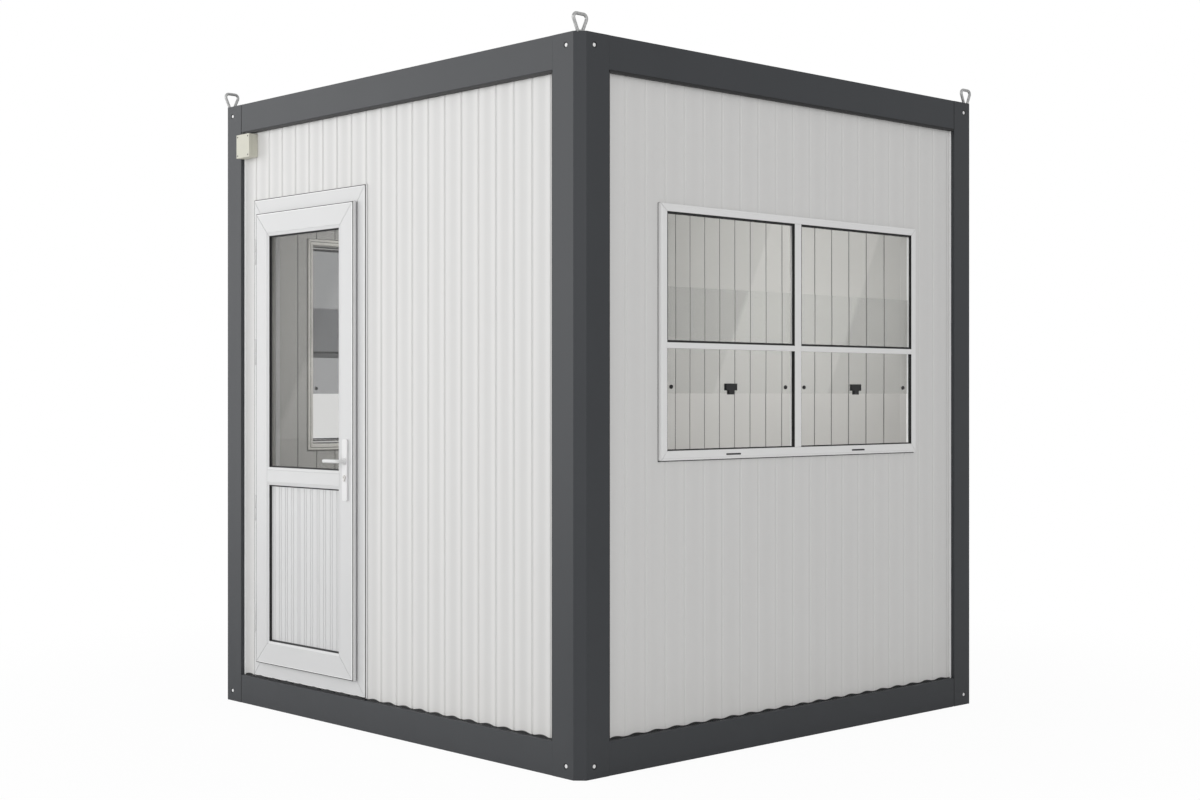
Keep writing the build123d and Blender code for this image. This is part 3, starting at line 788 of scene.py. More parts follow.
# The distance to the nearest groove, as in the sheet's finish, moves the points of the outer face
position = slab.node("GeometryNodeInputPosition")
along = part_of(position, 0)
turn = along.sum("FRACT", (along - slab["Phase"]) / slab["Pitch"] + 100.5)
away = along.sum("ABSOLUTE", turn - 0.5) * slab["Pitch"]
wave = 0.5 - along.sum("COSINE", away / slab["Pitch"] * (2 * math.pi)) * 0.5
groove = (1.0 - away.smooth(slab["Groove Width"] * 0.12, slab["Groove Width"] * 0.5)) * slab["Groove Depth"]
mid_depth = (slab["Outer Face"] + slab["Inner Face"]) * 0.5
outside = along.sum("LESS_THAN", part_of(position, 1), mid_depth)
joint = (1.0 - away.smooth(0.0012, 0.0032)) * slab["Joint Depth"]
shift = outside * (groove + wave * slab["Hollow"]) - (1.0 - outside) * joint
upper = along.sum("GREATER_THAN", part_of(position, 2), mid_height)
offset = slab.node("ShaderNodeCombineXYZ", Y=shift, Z=upper * wave * slab["Scallop"])
moved = slab.node("GeometryNodeSetPosition", Geometry=closed, Offset=offset)

# The outer face, the lining and its joints each get their material
painted = slab.node("GeometryNodeSetMaterial", Geometry=moved, Material=slab["Outer"])
normal = part_of(slab.node("GeometryNodeInputNormal"), 1)
inward = slab.node("FunctionNodeCompare", {"operation": "GREATER_THAN"}, _0=normal, _1=0.5)
lined = slab.node("GeometryNodeSetMaterial", Geometry=painted, Selection=inward, Material=slab["Inner"])
near = slab.node("FunctionNodeCompare", {"operation": "LESS_THAN"}, _0=away, _1=0.0017)
seam = slab.node("FunctionNodeBooleanMath", {"operation": "AND"}, _0=inward, _1=near)
jointed = slab.node("GeometryNodeSetMaterial", Geometry=lined, Selection=seam, Material=slab["Joint"])
slab.finish(slab.node("GeometryNodeRealizeInstances", Geometry=jointed))
print("nodes in the slab tree", len(slab.tree.nodes))

# %% [markdown]
# Small parts that come in rows, such as the bolts, are set out by a second tree: it puts one part on every
# point of an upright grid, gives each its own small turn from a fixed seed, and makes them real.

# %% Geometry Nodes: rows of one part
rows = Tree("rows_of_a_part", {
    "Part": "Object", "Width": "Float", "Height": "Float", "Columns": "Int", "Rows": "Int", "Centre": "Vector",
    "Turn Spread": "Float", "Seed": "Int", "Finish": "Material",
})
spots = rows.node(
    "GeometryNodeMeshGrid",
    Size_X=rows["Width"], Size_Y=rows["Height"], Vertices_X=rows["Columns"], Vertices_Y=rows["Rows"],
)
upright = (math.pi / 2, 0, 0)
spots = rows.node("GeometryNodeTransform", Geometry=spots, Translation=rows["Centre"], Rotation=upright)
source = rows.tree.nodes.new("GeometryNodeObjectInfo")
rows.tree.links.new(rows["Part"].socket, source.inputs["Object"])
spin = rows.node("FunctionNodeRandomValue", out=1, Seed=rows["Seed"])
twist = rows.node("ShaderNodeCombineXYZ", Y=(spin - 0.5) * rows["Turn Spread"])
pose = rows.node("FunctionNodeEulerToRotation", _0=twist)
shape = Wire(rows.tree, source.outputs["Geometry"])
copies = rows.node("GeometryNodeInstanceOnPoints", Points=spots, Instance=shape, Rotation=pose)
real = rows.node("GeometryNodeRealizeInstances", Geometry=copies)
rows.finish(rows.node("GeometryNodeSetMaterial", Geometry=real, Material=rows["Finish"]))


def rows_of(mesh, finish, size, count, centre, spread=0.0, seed=1):
    """Copies of a part on an upright grid of a size, with a count of columns and rows."""
    part = bpy.data.objects.new("part", mesh)
    scene.collection.objects.link(part)
    made = rows.mesh(
        Part=part, Width=size[0], Height=size[1], Columns=count[0], Rows=count[1], Centre=centre,
        Turn_Spread=spread, Seed=seed, Finish=finish,
    )
    bpy.data.objects.remove(part)
    return made


print("trees", [tree.name for tree in bpy.data.node_groups])

# %% [markdown]
# The posts and rails are folded from 3 mm sheet, so each bend has a radius of a few millimetres that
# catches the light as a fine line; the cut ends stay sharp. A rail stops a little short of the post at its
# far end, and a black strip in the gap paints its shade as a dark line.

# %% Steel frame: rails
RAIL_FOLD = 0.0020
JOINT = 0.0044
JOINT_FACE = -HALF + 0.0012
JOINT_BACK = -HALF + 0.0040
JOINT_END = 0.001
FAR_END = {"front": -1, "right": 1, "back": 1, "left": -1}
joints = []
for side, far_end in FAR_END.items():
    axis = 0 if side in ("front", "back") else 1
    for level, foot in (("top", HEIGHT - RAIL), ("bottom", 0.0)):
        node = f"{level}_rail_{side}"
        rail = merged_copy(node)
        far = far_end * (HALF - POST)
        for point in rail.vertices:
            if abs(point.co[axis] - far) < 0.0001:
                point.co[axis] -= far_end * JOINT
        piece(node + "_folded", soft_folds(rail, axis, RAIL_FOLD), slot_of[node], "cabin", [steel_paint], [node])
        start = -HALF + POST if axis == 0 else HALF - POST - JOINT
        # painted shade: a black strip at the back of the gap between rail and post
        gap = square_bar(start, start + JOINT, JOINT_FACE, JOINT_BACK, foot + JOINT_END, foot + RAIL - JOINT_END)
        joints.append(turned(stood_up(gap), side))
piece("rail_joint_lines", joined("joints", joints), "black_rubber", "cabin", [black_rubber_and_shade])
print("rails", len(joints))

# %% [markdown]
# Each face of a post has a shallow pocket near its top and its foot, and in each pocket sits a domed bolt
# in a black washer, all below the face. The washer is also painted shade for the pocket round the head, and
# the head is a bright white, a painted glint on its dome. The pockets are cut with a Boolean, all at once.

# %% Steel frame: posts and bolts
POST_FOLD = 0.0026
BOLT_INSET = 0.0705
BOLT_LOW = 0.043
BOLT_HIGH = 2.532
POCKET_DEPTH = 0.0026
POCKET_RADIUS = 0.0108
CUTTER_STANDS_OUT = 0.004
bolt_size = (2 * (HALF - BOLT_INSET), BOLT_HIGH - BOLT_LOW)
bolt_middle = (BOLT_LOW + BOLT_HIGH) / 2
pocket_floor = (0, -HALF + POCKET_DEPTH, bolt_middle)
pocket = lathe([
    (0, -CUTTER_STANDS_OUT), (POCKET_RADIUS, -CUTTER_STANDS_OUT),
    (POCKET_RADIUS, POCKET_DEPTH), (0, POCKET_DEPTH),
], 28)
washer = lathe([(0.0070, -0.0007), (0.0102, -0.0005), (0.0106, 0.0), (0.0070, 0.0)], 28, closed=True)
bolt_head = lathe([
    (0, -0.0012), (0.0020, -0.0012), (0.0023, -0.0021), (0.0030, -0.0024), (0.0050, -0.0021), (0.0064, -0.0013),
    (0.0071, -0.0005), (0.0071, 0.0), (0, 0.0),
], 28)
pockets = on_each_side(rows_of(pocket, None, bolt_size, (2, 2), (0, -HALF, bolt_middle)))
cutters = bpy.data.objects.new("cutters", pockets)
scene.collection.objects.link(cutters)
for node in sorted(name for name in nodes if name.startswith("corner_post")):
    bored = with_modifier(merged_copy(node), "BOOLEAN", object=cutters, operation="DIFFERENCE", solver="EXACT")
    piece(node + "_folded", soft_folds(bored, 2, POST_FOLD, 3), slot_of[node], "cabin", [steel_paint], [node])
bpy.data.objects.remove(cutters)
# real washers, also painted shade: the black darkens the pocket round each head
washers = on_each_side(rows_of(washer, black_rubber_and_shade, bolt_size, (2, 2), pocket_floor))
piece("bolt_washers", washers, "black_rubber", "cabin")
# painted highlight: the heads take the bright white of the highlight strips
heads = on_each_side(rows_of(bolt_head, highlight_white, bolt_size, (2, 2), pocket_floor, 1.5, 4))
piece("bolt_heads", heads, "ring_steel", "cabin")
print("bolt faces", len(heads.polygons))

# %% [markdown]
# The openings are the ones cut in the measured walls: one for the door frame and one for each window. A
# wall with an opening is four strips round it, which share the phase of their ribs. The grooves of the
# side walls are shallower than those of the front.

# %% Walls
WALL_BOTTOM = 0.100
WALL_TOP = 2.475
COLUMN = 0.0020
GROOVE_WIDTH = 0.014
GROOVE_DEPTH = 0.0042
HOLLOW = 0.0024
INNER_JOINT = 0.0020
SIDE_RELIEF = 0.4
WINDOW_OPENING = (-0.738, 0.738, 1.100, 2.001)
DOOR_OPENING = (-0.912, -0.124, 0.138, 2.145)


def strip(left, right, low, high, phase, relief):
    columns = max(2, round((right - left) / COLUMN) + 1)
    return slab.mesh(
        Left=left, Right=right, Low=low, High=high, Columns=columns, Phase=phase,
        Pitch=RIB_PITCH, Groove_Width=GROOVE_WIDTH, Groove_Depth=GROOVE_DEPTH * relief, Hollow=HOLLOW * relief,
        Outer_Face=-WALL_FACE, Inner_Face=-INNER_HALF, Joint_Depth=INNER_JOINT, Scallop=0.0,
        Outer=sheet_paint, Inner=lining_paint, Joint=joint_shade,
    )


def wall_sheets(side, phase, nodes_replaced, opening=None):
    """A wall as upright strips round one opening, given as left, right, low and high."""
    if opening is None:
        spans = [(-INNER_HALF, INNER_HALF, WALL_BOTTOM, WALL_TOP)]
    else:
        left, right, low, high = opening
        spans = [
            (-INNER_HALF, left, WALL_BOTTOM, WALL_TOP), (right, INNER_HALF, WALL_BOTTOM, WALL_TOP),
            (left, right, WALL_BOTTOM, low), (left, right, high, WALL_TOP),
        ]
    relief = 1.0 if side in ("front", "back") else SIDE_RELIEF
    mesh = turned(joined(side, [strip(*span, phase, relief) for span in spans]), side)
    piece(side + "_wall_sheets", mesh, "wall_sheet", "cabin", (), nodes_replaced)
    print(side, "wall faces", len(mesh.polygons))


PHASES = {"front": FRONT_PHASE, "right": SIDE_PHASE, "left": -SIDE_PHASE, "back": FRONT_PHASE}
front_nodes = ["front_wall_left", "front_wall_right", "front_wall_over_door", "front_wall_under_door"]
wall_sheets("front", PHASES["front"], front_nodes, DOOR_OPENING)
wall_sheets("right", PHASES["right"], ["right_wall"], WINDOW_OPENING)
wall_sheets("left", PHASES["left"], ["left_wall"], WINDOW_OPENING)
wall_sheets("back", PHASES["back"], ["back_wall"])

# %% [markdown]
# Black strips fill the gaps between the panels and the steel and paint their shade: along the top, along one
# post, and along the foot, where a strip's edge follows the ribs and shows as a wavy line. A white bead down
# both ends of each wall paints the highlight on the wall's edge.

# %% Edge seals of the walls
REACH = HALF - POST
UNDER_RAIL = HEIGHT - RAIL
SHADE_STRIP_FRONT = -1.1484
SHADE_STRIP_BACK = -1.1280
TOP_SHADE_STRIP = 0.0085
SIDE_SHADE_STRIP = 0.0045
FOOT_SHADE_STRIP = 0.0035
FOOT_SHADE_DEPTH = 0.0050
WAVE = 0.0060
DOOR_WAVE = 0.0090
DOOR_SPAN = (-0.924, -0.112)
DOOR_FOOT_FACE = 1.1415
FOOT_COLUMN = 0.005
EDGE_HIGHLIGHT_SECTION = ((0, -1.1290), (0, -1.1335), (0.0030, -1.1330), (0.0065, -1.1312), (0.0075, -1.1290))


def foot_line(left, right, face, scallop, phase):
    """A black strip of painted shade along the foot of a wall; its upper edge follows the ribs."""
    return slab.mesh(
        Left=left, Right=right, Low=RAIL, High=RAIL + FOOT_SHADE_STRIP, Columns=round((right - left) / FOOT_COLUMN) + 1,
        Phase=phase, Pitch=RIB_PITCH, Groove_Width=0.010, Groove_Depth=0.0, Hollow=0.0, Outer_Face=-face,
        Inner_Face=-face + FOOT_SHADE_DEPTH, Joint_Depth=0.0, Scallop=scallop,
        Outer=black_rubber_and_shade, Inner=black_rubber_and_shade, Joint=black_rubber_and_shade,
    )


lines = [foot_line(*DOOR_SPAN, DOOR_FOOT_FACE, DOOR_WAVE, FRONT_PHASE)]
beads = []
for side, phase in PHASES.items():
    edge = REACH - SIDE_SHADE_STRIP if side in ("front", "back") else -REACH
    lines += [turned(mesh, side) for mesh in (
        foot_line(-REACH, REACH, WALL_FACE + 0.0004, WAVE, phase),
        # painted shade: black strips under the top rail and beside one post
        square_bar(UNDER_RAIL - TOP_SHADE_STRIP, UNDER_RAIL, SHADE_STRIP_FRONT, SHADE_STRIP_BACK, -REACH, REACH),
        stood_up(square_bar(edge, edge + SIDE_SHADE_STRIP, SHADE_STRIP_FRONT, SHADE_STRIP_BACK, RAIL, UNDER_RAIL)),
    )]
    for end in (-1, 1):
        # painted highlight: a white bead down each end of the wall
        edge_highlight = [(end * (REACH - inward), depth) for inward, depth in EDGE_HIGHLIGHT_SECTION]
        beads.append(turned(stood_up(bar_along(edge_highlight, RAIL, UNDER_RAIL)), side))
piece("wall_edge_seals", joined("seals", lines), "black_rubber", "cabin", [black_rubber_and_shade])
piece("wall_sealant_beads", joined("beads", beads), "wall_sheet", "cabin", [window_white])
print("edge seals", len(lines))

# %% [markdown]
# The door frame laps over the wall and the leaf laps over the frame. Both are mitred rings, and a bright
# white strip along the outer corner paints its highlight. A black core just under their faces shows through
# the mitres and paints the shade of the fine weld line. A grey ring round the frame on the wall paints the
# shade of the gap there. The frame's ring has room for the leaf's body, and a soft seal closes the gap
# between the two.

# %% Door frame
FRAME_RECT = (-0.924, -0.112, 0.126, 2.157)
LEAF_RECT = (-0.872, -0.164, 0.190, 2.093)
FRAME_FRONT = -1.141
LEAF_FRONT = -1.164
LEAF_BACK = -1.104
FLANGE_BACK = -1.146
WALL_LAP = 0.012
LEAF_LAP = 0.008
CORE_LAP = 0.014
EDGE_CHAMFER = 0.0085
SUNK = 0.0018
BROKEN_EDGE = 0.0008
SKIN = 0.0001


def highlight_strip(rect, front):
    """A bright white strip along the outer corner of a ring, a hair proud of it: a painted highlight."""
    section = [(0, 1), (0.12, 0.62), (0.62, 0.12), (1, 0), (1, 1)]
    return mitred([(inset(rect, EDGE_CHAMFER * inward - SKIN), front + EDGE_CHAMFER * sunk - SKIN) for inward, sunk in section])


door_hole = inset(LEAF_RECT, LEAF_LAP)
frame_ring = mitred([
    (FRAME_RECT, -WALL_FACE), (FRAME_RECT, FRAME_FRONT + EDGE_CHAMFER), (inset(FRAME_RECT, EDGE_CHAMFER), FRAME_FRONT),
    (door_hole, FRAME_FRONT), (door_hole, -INNER_HALF), (inset(FRAME_RECT, WALL_LAP), -INNER_HALF),
    (inset(FRAME_RECT, WALL_LAP), -WALL_FACE),
])
# painted shade: a black core that shows through the mitres
frame_mitre_shade = mitred([
    (inset(FRAME_RECT, SUNK), -WALL_FACE), (inset(FRAME_RECT, SUNK), FRAME_FRONT + SUNK),
    (inset(door_hole, -SUNK), FRAME_FRONT + SUNK), (inset(door_hole, -SUNK), -INNER_HALF - SUNK),
    (inset(FRAME_RECT, CORE_LAP), -INNER_HALF - SUNK), (inset(FRAME_RECT, CORE_LAP), -WALL_FACE),
], 0.0)
# painted shade: a grey ring round the frame on the wall, in the gap's shade
outline = square_ring(inset(FRAME_RECT, -0.0010), FRAME_RECT, -WALL_FACE - 0.0008, -WALL_FACE + 0.004)
inner_trim = mitred([
    (inset(DOOR_OPENING, -0.030), -INNER_HALF), (inset(DOOR_OPENING, -0.028), -INNER_HALF + 0.006),
    (inset(DOOR_OPENING, 0.002), -INNER_HALF + 0.008), (inset(DOOR_OPENING, 0.002), -INNER_HALF),
])
frame_mesh = soft_edges(frame_ring, BROKEN_EDGE)
piece("door_frame_profiles", frame_mesh, "door_pvc", "cabin", [pvc_white], ["door_frame"])
piece("door_frame_bead", highlight_strip(FRAME_RECT, FRAME_FRONT), "door_pvc", "cabin", [highlight_white])
piece("door_frame_weld_line", frame_mitre_shade, "black_rubber", "cabin", [black_rubber_and_shade])
piece("door_outline_seal", outline, "black_rubber", "cabin", [grey_sealant])
piece("door_inner_trim", soft_edges(inner_trim, BROKEN_EDGE), "door_pvc", "cabin", [pvc_white])
print("door frame made")

# %% [markdown]
# The leaf has two apertures with a transom between them. Round each runs a fine groove and then a bevel
# down to the rebate, and the transom has the same edge on both sides, so one short list serves both.

# %% Door leaf
APERTURE = (-0.784, -0.252, 0.278, 2.005)
TRANSOM = (0.9585, 1.0095)
PANE_FRONT = -1.150
BEVEL = 0.012
BODY_INSET = 0.017
APERTURE_EDGE = ((-0.0016, 0.0), (-0.0002, 0.0022), (0.0012, 0.0006), (BEVEL, 0.003))
low, high = TRANSOM
UPPER = (APERTURE[0], APERTURE[1], high, APERTURE[3])
LOWER = (APERTURE[0], APERTURE[1], APERTURE[2], low)
leaf_ring = mitred([
    (LEAF_RECT, FLANGE_BACK), (LEAF_RECT, LEAF_FRONT + EDGE_CHAMFER), (inset(LEAF_RECT, EDGE_CHAMFER), LEAF_FRONT),
    *[(inset(APERTURE, inward), LEAF_FRONT + sunk) for inward, sunk in APERTURE_EDGE],
    (inset(APERTURE, BEVEL), PANE_FRONT), (APERTURE, PANE_FRONT), (APERTURE, LEAF_BACK),
    (inset(LEAF_RECT, BODY_INSET), LEAF_BACK), (inset(LEAF_RECT, BODY_INSET), FLANGE_BACK),
])
transom_bar = bar_along([
    *[(low - inward, LEAF_FRONT + sunk) for inward, sunk in reversed(APERTURE_EDGE)],
    *[(high + inward, LEAF_FRONT + sunk) for inward, sunk in APERTURE_EDGE],
    (high + BEVEL, PANE_FRONT), (high, PANE_FRONT), (high, LEAF_BACK),
    (low, LEAF_BACK), (low, PANE_FRONT), (low - BEVEL, PANE_FRONT),
], APERTURE[0] + 0.0006, APERTURE[1] - 0.0006)
# painted shade: a black core that shows through the leaf's mitres
leaf_mitre_shade = square_ring(inset(LEAF_RECT, SUNK), inset(APERTURE, -SUNK), LEAF_FRONT + SUNK, FLANGE_BACK - SUNK)
contact_seal = mitred([
    (inset(LEAF_RECT, 0.004), FLANGE_BACK), (inset(LEAF_RECT, 0.007), FRAME_FRONT - 0.0006),
    (inset(LEAF_RECT, 0.011), FRAME_FRONT - 0.0006), (inset(LEAF_RECT, 0.014), FLANGE_BACK),
], 0.0)
leaf_mesh = soft_edges(joined("leaf", [leaf_ring, transom_bar]), BROKEN_EDGE)
piece("door_leaf_profiles", leaf_mesh, "door_pvc", "door", [pvc_white], ["door_leaf"])
piece("door_leaf_bead", highlight_strip(LEAF_RECT, LEAF_FRONT), "door_pvc", "door", [highlight_white])
piece("door_leaf_weld_line", leaf_mitre_shade, "black_rubber", "door", [black_rubber_and_shade])
piece("door_contact_seal", contact_seal, "black_rubber", "door", [joint_shade])
print("door leaf made")

# %% [markdown]
# A pane is held by black gaskets, and the rebate beside it is in shade, which a thin black liner shows. The
# double glazing has a metal spacer between its two sheets.

# %% Door glazing
SPACER_FRONT = -1.1458
SPACER_BACK = -1.1302
LINER_FRONT = LEAF_FRONT + 0.0045
seals = []
liners = []
for rect in (UPPER, LOWER):
    seals.append(mitred([
        (inset(rect, 0.011), PANE_FRONT), (inset(rect, 0.011), PANE_FRONT - 0.003),
        (inset(rect, 0.017), PANE_FRONT - 0.001), (inset(rect, 0.018), PANE_FRONT),
    ]))
    liners.append(square_ring(inset(rect, BEVEL - SKIN), inset(rect, BEVEL + 0.0011), LINER_FRONT, PANE_FRONT))
spacer = square_ring(inset(UPPER, 0.004), inset(UPPER, 0.0145), SPACER_FRONT, SPACER_BACK)
piece("door_seals", joined("seals", seals), "black_rubber", "door", [black_rubber_and_shade], ["door_gaskets"])
piece("door_pane_liners", joined("liners", liners), "black_rubber", "door", [black_rubber_and_shade])
piece("door_glazing_spacer", spacer, "lock_metal", "door", [nickel])
print("door glazing made")

# %% [markdown]
# The two windows are alike: a slim outer ring, a mullion, a light transom, and black caps that paint the
# dark of the drain slots as painted shade. Black parts also paint shade: a core that shows through the
# mitres, a thin ring round the frame on the wall, thicker under the sill, and liners in the rebates beside
# the panes. Inside, a casing laps over the wall round the opening; it is beige on the side window.

# %% Windows: outer profiles
WINDOW_RECT = (-0.750, 0.750, 1.088, 2.013)
WINDOW_HOLE = (-0.718, 0.718, 1.123, 1.985)
WINDOW_FRONT = -1.145
WINDOW_BACK = -1.118
MULLION = 0.019
MULLION_BACK = -1.119
BAR_LOW = 1.493
BAR_HIGH = 1.514
BAR_BACK = -1.128
BUTT = 0.0005
LINER = 0.0012
LINED_FROM = -1.1442
UPPER_LINER_BACK = -1.1370
LOWER_LINER_BACK = -1.1290
DRAIN_PLACE = 0.368


def slot_cap(length, height, depth, segments=10):
    """A flat cap with round ends, drawn on the plane y = 0 and standing out towards -Y."""
    store = bmesh.new()
    outline = []
    for end in (1, -1):
        for k in range(segments + 1):
            turn = math.pi * (k / segments - 0.5) + (0 if end > 0 else math.pi)
            x = end * (length - height) / 2 + math.cos(turn) * height / 2
            outline.append((x, math.sin(turn) * height / 2))
    levels = ((0, 1.0), (-depth * 0.7, 1.0), (-depth, 0.96))
    skinned(store, [[store.verts.new((x * scale, y, z * scale)) for x, z in outline] for y, scale in levels])
    return closed_mesh(store, "cap")


left, right, low, high = WINDOW_HOLE
halves = ((left, -MULLION), (MULLION, right))
window_ring = mitred([
    (WINDOW_RECT, -WALL_FACE), (WINDOW_RECT, WINDOW_FRONT + 0.002),
    (inset(WINDOW_RECT, 0.007), WINDOW_FRONT + 0.0015),
    (inset(WINDOW_RECT, 0.0085), WINDOW_FRONT), (WINDOW_HOLE, WINDOW_FRONT), (WINDOW_HOLE, WINDOW_BACK),
    (WINDOW_OPENING, WINDOW_BACK), (WINDOW_OPENING, -WALL_FACE),
])
mullion_bar = stood_up(square_bar(-MULLION, MULLION, WINDOW_FRONT, MULLION_BACK, low + 0.0006, high - 0.0006))
bars = [square_bar(BAR_LOW, BAR_HIGH, WINDOW_FRONT, BAR_BACK, start + BUTT, end - BUTT) for start, end in halves]
window_profile = soft_edges(joined("window", [window_ring, mullion_bar, *bars]), 0.0010)
# painted shade: a black core that shows through the mitres
window_mitre_shade = mitred([
    (inset(WINDOW_RECT, SUNK), -WALL_FACE), (inset(WINDOW_RECT, SUNK), WINDOW_FRONT + 2 * SUNK),
    (inset(WINDOW_HOLE, -SUNK), WINDOW_FRONT + 2 * SUNK), (inset(WINDOW_HOLE, -SUNK), WINDOW_BACK - SUNK),
    (inset(WINDOW_OPENING, SUNK), WINDOW_BACK - SUNK), (inset(WINDOW_OPENING, SUNK), -WALL_FACE),
], 0.0)
# painted shadow: a black ring round the frame on the wall, thicker under the sill
shadow_outline_rect = (
    WINDOW_RECT[0] - 0.0012, WINDOW_RECT[1] + 0.0012, WINDOW_RECT[2] - 0.0035, WINDOW_RECT[3] + 0.0010,
)
dark_parts = [window_mitre_shade, square_ring(shadow_outline_rect, WINDOW_RECT, -WALL_FACE - 0.0008, -WALL_FACE + 0.004)]
# painted shade: black caps stand for the dark drain slots
cap = slot_cap(0.080, 0.006, 0.0012)
dark_parts += [placed(cap, x, WINDOW_FRONT, WINDOW_RECT[2] + 0.017) for x in (-DRAIN_PLACE, DRAIN_PLACE)]
# painted shade: black liners in the rebates beside the panes
for start, end in halves:
    light = (start, end, BAR_HIGH, high)
    dark_parts.append(square_ring(light, inset(light, LINER), LINED_FROM, UPPER_LINER_BACK))
    for edge in (start, end - LINER):
        dark_parts.append(stood_up(square_bar(edge, edge + LINER, LINED_FROM, LOWER_LINER_BACK, low, BAR_LOW)))
window_dark = joined("dark", dark_parts)
print("window faces", len(window_profile.polygons))

# %% Windows: inner casing and placing
CASING_LAP = 0.024
TRACK_SPAN = 0.716
TRACKS = ((1.9905, 0.0055), (1.9790, 0.0070), (1.1165, 0.0050), (1.1050, 0.0040))
lap = inset(WINDOW_OPENING, -CASING_LAP)
reveal = inset(WINDOW_OPENING, 0.003)
groove_rect = inset(WINDOW_OPENING, -CASING_LAP * 0.5)
casing = soft_edges(mitred([
    (lap, -INNER_HALF), (lap, -INNER_HALF + 0.007), (inset(lap, 0.003), -INNER_HALF + 0.010),
    (inset(reveal, -0.004), -INNER_HALF + 0.010), (reveal, -INNER_HALF + 0.006), (reveal, WINDOW_BACK),
    (WINDOW_OPENING, WINDOW_BACK), (WINDOW_OPENING, -INNER_HALF),
]), BROKEN_EDGE)
# painted shade: black rings at the casing's outer edge on the wall and in its groove
casing_shade_lines = joined("lines", [
    square_ring(inset(lap, -0.0018), lap, -INNER_HALF, -INNER_HALF + 0.0012),
    square_ring(
        inset(groove_rect, -0.0012), inset(groove_rect, 0.0012), -INNER_HALF + 0.0090, -INNER_HALF + 0.0103,
    ),
])
track_lines = joined("tracks", [
    square_bar(z, z + rise, WINDOW_BACK - 0.001, WINDOW_BACK + 0.0012, -TRACK_SPAN, TRACK_SPAN)
    for z, rise in TRACKS
])
for side, name, casing_finish in (("right", "service_window", lining_paint), ("left", "side_window", beige_pvc)):
    for part, mesh, slot, finish, replaced in (
        ("_profiles", window_profile, "window_pvc", window_white, [name + "_frame"]),
        ("_dark_lines", window_dark, "black_rubber", black_rubber_and_shade, ()),
        ("_casing", casing, "window_pvc", casing_finish, ()),
        ("_casing_lines", casing_shade_lines, "black_rubber", black_rubber_and_shade, ()),
        ("_track_lines", track_lines, "black_rubber", black_rubber_and_shade, ()),
    ):
        piece(name + part, turned(mesh.copy(), side), slot, "cabin", [finish], replaced)
print("windows made")

# %% [markdown]
# The lifting rings are bent from galvanised bar and welded to the tops of the posts. A ring is a rod along
# a path with rounded corners, and the weld is a low mound at its foot.

# %% Lifting rings
RING_INSET = 0.025
RING_BAR = 0.012
RING_POINTS = [(0, -0.0085, -0.004), (0, -0.038, 0.061), (0, 0.038, 0.061), (0, 0.0085, -0.004)]
ring = rod(rounded_path(RING_POINTS, 0.014), (1, 0, 0), RING_BAR, RING_BAR)
weld = lathe([(0.0118, 0.0), (0.0112, -0.0022), (0.0086, -0.0046), (0.0040, -0.0056), (0, -0.0058), (0, 0)], 28)
weld.transform(Matrix.Diagonal((1.0, 1.7, 1.0, 1.0)) @ UPWARDS)
spot = HALF - RING_INSET
rings = [placed(part, x, y, HEIGHT) for part in (ring, weld) for x in (-spot, spot) for y in (-spot, spot)]
piece("lifting_rings_welded", joined("rings", rings), "ring_steel", "cabin", [galvanised], ["lifting_rings"])
print("rings and welds", len(rings))

# %% [markdown]
# The handle turns about its spindle. Its lever is one bent rod with a rounded end on each face of the
# leaf, and a conical collar covers the place where it enters the plate.

# %% Door handle and keyway
HANDLE_X = -0.209
LEVER_Z = 1.061
LOCK_Z = 0.997
PLATE_FACE = -1.172
LOCK_FACE = -1.176
LEVER_Y = -1.207
LEVER_LENGTH = 0.100
LEVER = 0.015
LEVER_BEND = 0.013
TIP_STEPS = 8
HALF_SPINDLE = 0.004
SPINDLE_ENTERS = 0.006
leaf_middle = (LEAF_FRONT + LEAF_BACK) / 2
lever_path = rounded_path([
    (HANDLE_X, PLATE_FACE - 0.002, LEVER_Z), (HANDLE_X, LEVER_Y, LEVER_Z),
    (HANDLE_X - LEVER_LENGTH, LEVER_Y, LEVER_Z),
], LEVER_BEND)
tip = lever_path.pop()
sizes = [1.0] * len(lever_path)
for step in range(1, TIP_STEPS + 1):
    turn = step / TIP_STEPS * math.pi / 2
    lever_path.append(tip + Vector((LEVER / 2 * (1 - math.sin(turn)), 0, 0)))
    sizes.append(max(0.05, math.cos(turn)))
lever = rod(lever_path, (0, 0, 1), LEVER * 0.92, LEVER, sizes)
collar = lathe([(0, 0), (0.0128, 0), (0.0128, -0.0016), (0.0100, -0.0068), (0.0088, -0.0080), (0, -0.0080)], 32)
one_side = joined("side", [lever, placed(collar, HANDLE_X, PLATE_FACE - 0.0004, LEVER_Z)])
other_side = placed(mirrored(one_side, (0, 1, 0)), 0, 2 * leaf_middle, 0)
spindle = square_bar(
    LEVER_Z - HALF_SPINDLE, LEVER_Z + HALF_SPINDLE, LEAF_FRONT - SPINDLE_ENTERS, LEAF_BACK + SPINDLE_ENTERS,
    HANDLE_X - HALF_SPINDLE, HANDLE_X + HALF_SPINDLE,
)
handle_mesh = joined("lever", [one_side, other_side, spindle])
piece("door_lever", handle_mesh, "handle_paint", "handle", [handle_paint], ["door_handle"])
keyway = slot_cap(0.0075, 0.0016, 0.0003)
keyway.transform(Matrix.Translation((HANDLE_X, LOCK_FACE, LOCK_Z)) @ Matrix.Rotation(math.pi / 2, 4, "Y"))
piece("door_keyway", keyway, "black_plastic", "door", [black_plastic])
print("handle faces", len(handle_mesh.polygons))

# %% [markdown]
# A hinge's knuckle ends in a low dome above and below. The upper half moves with the leaf, and the lower
# half stays on the frame.

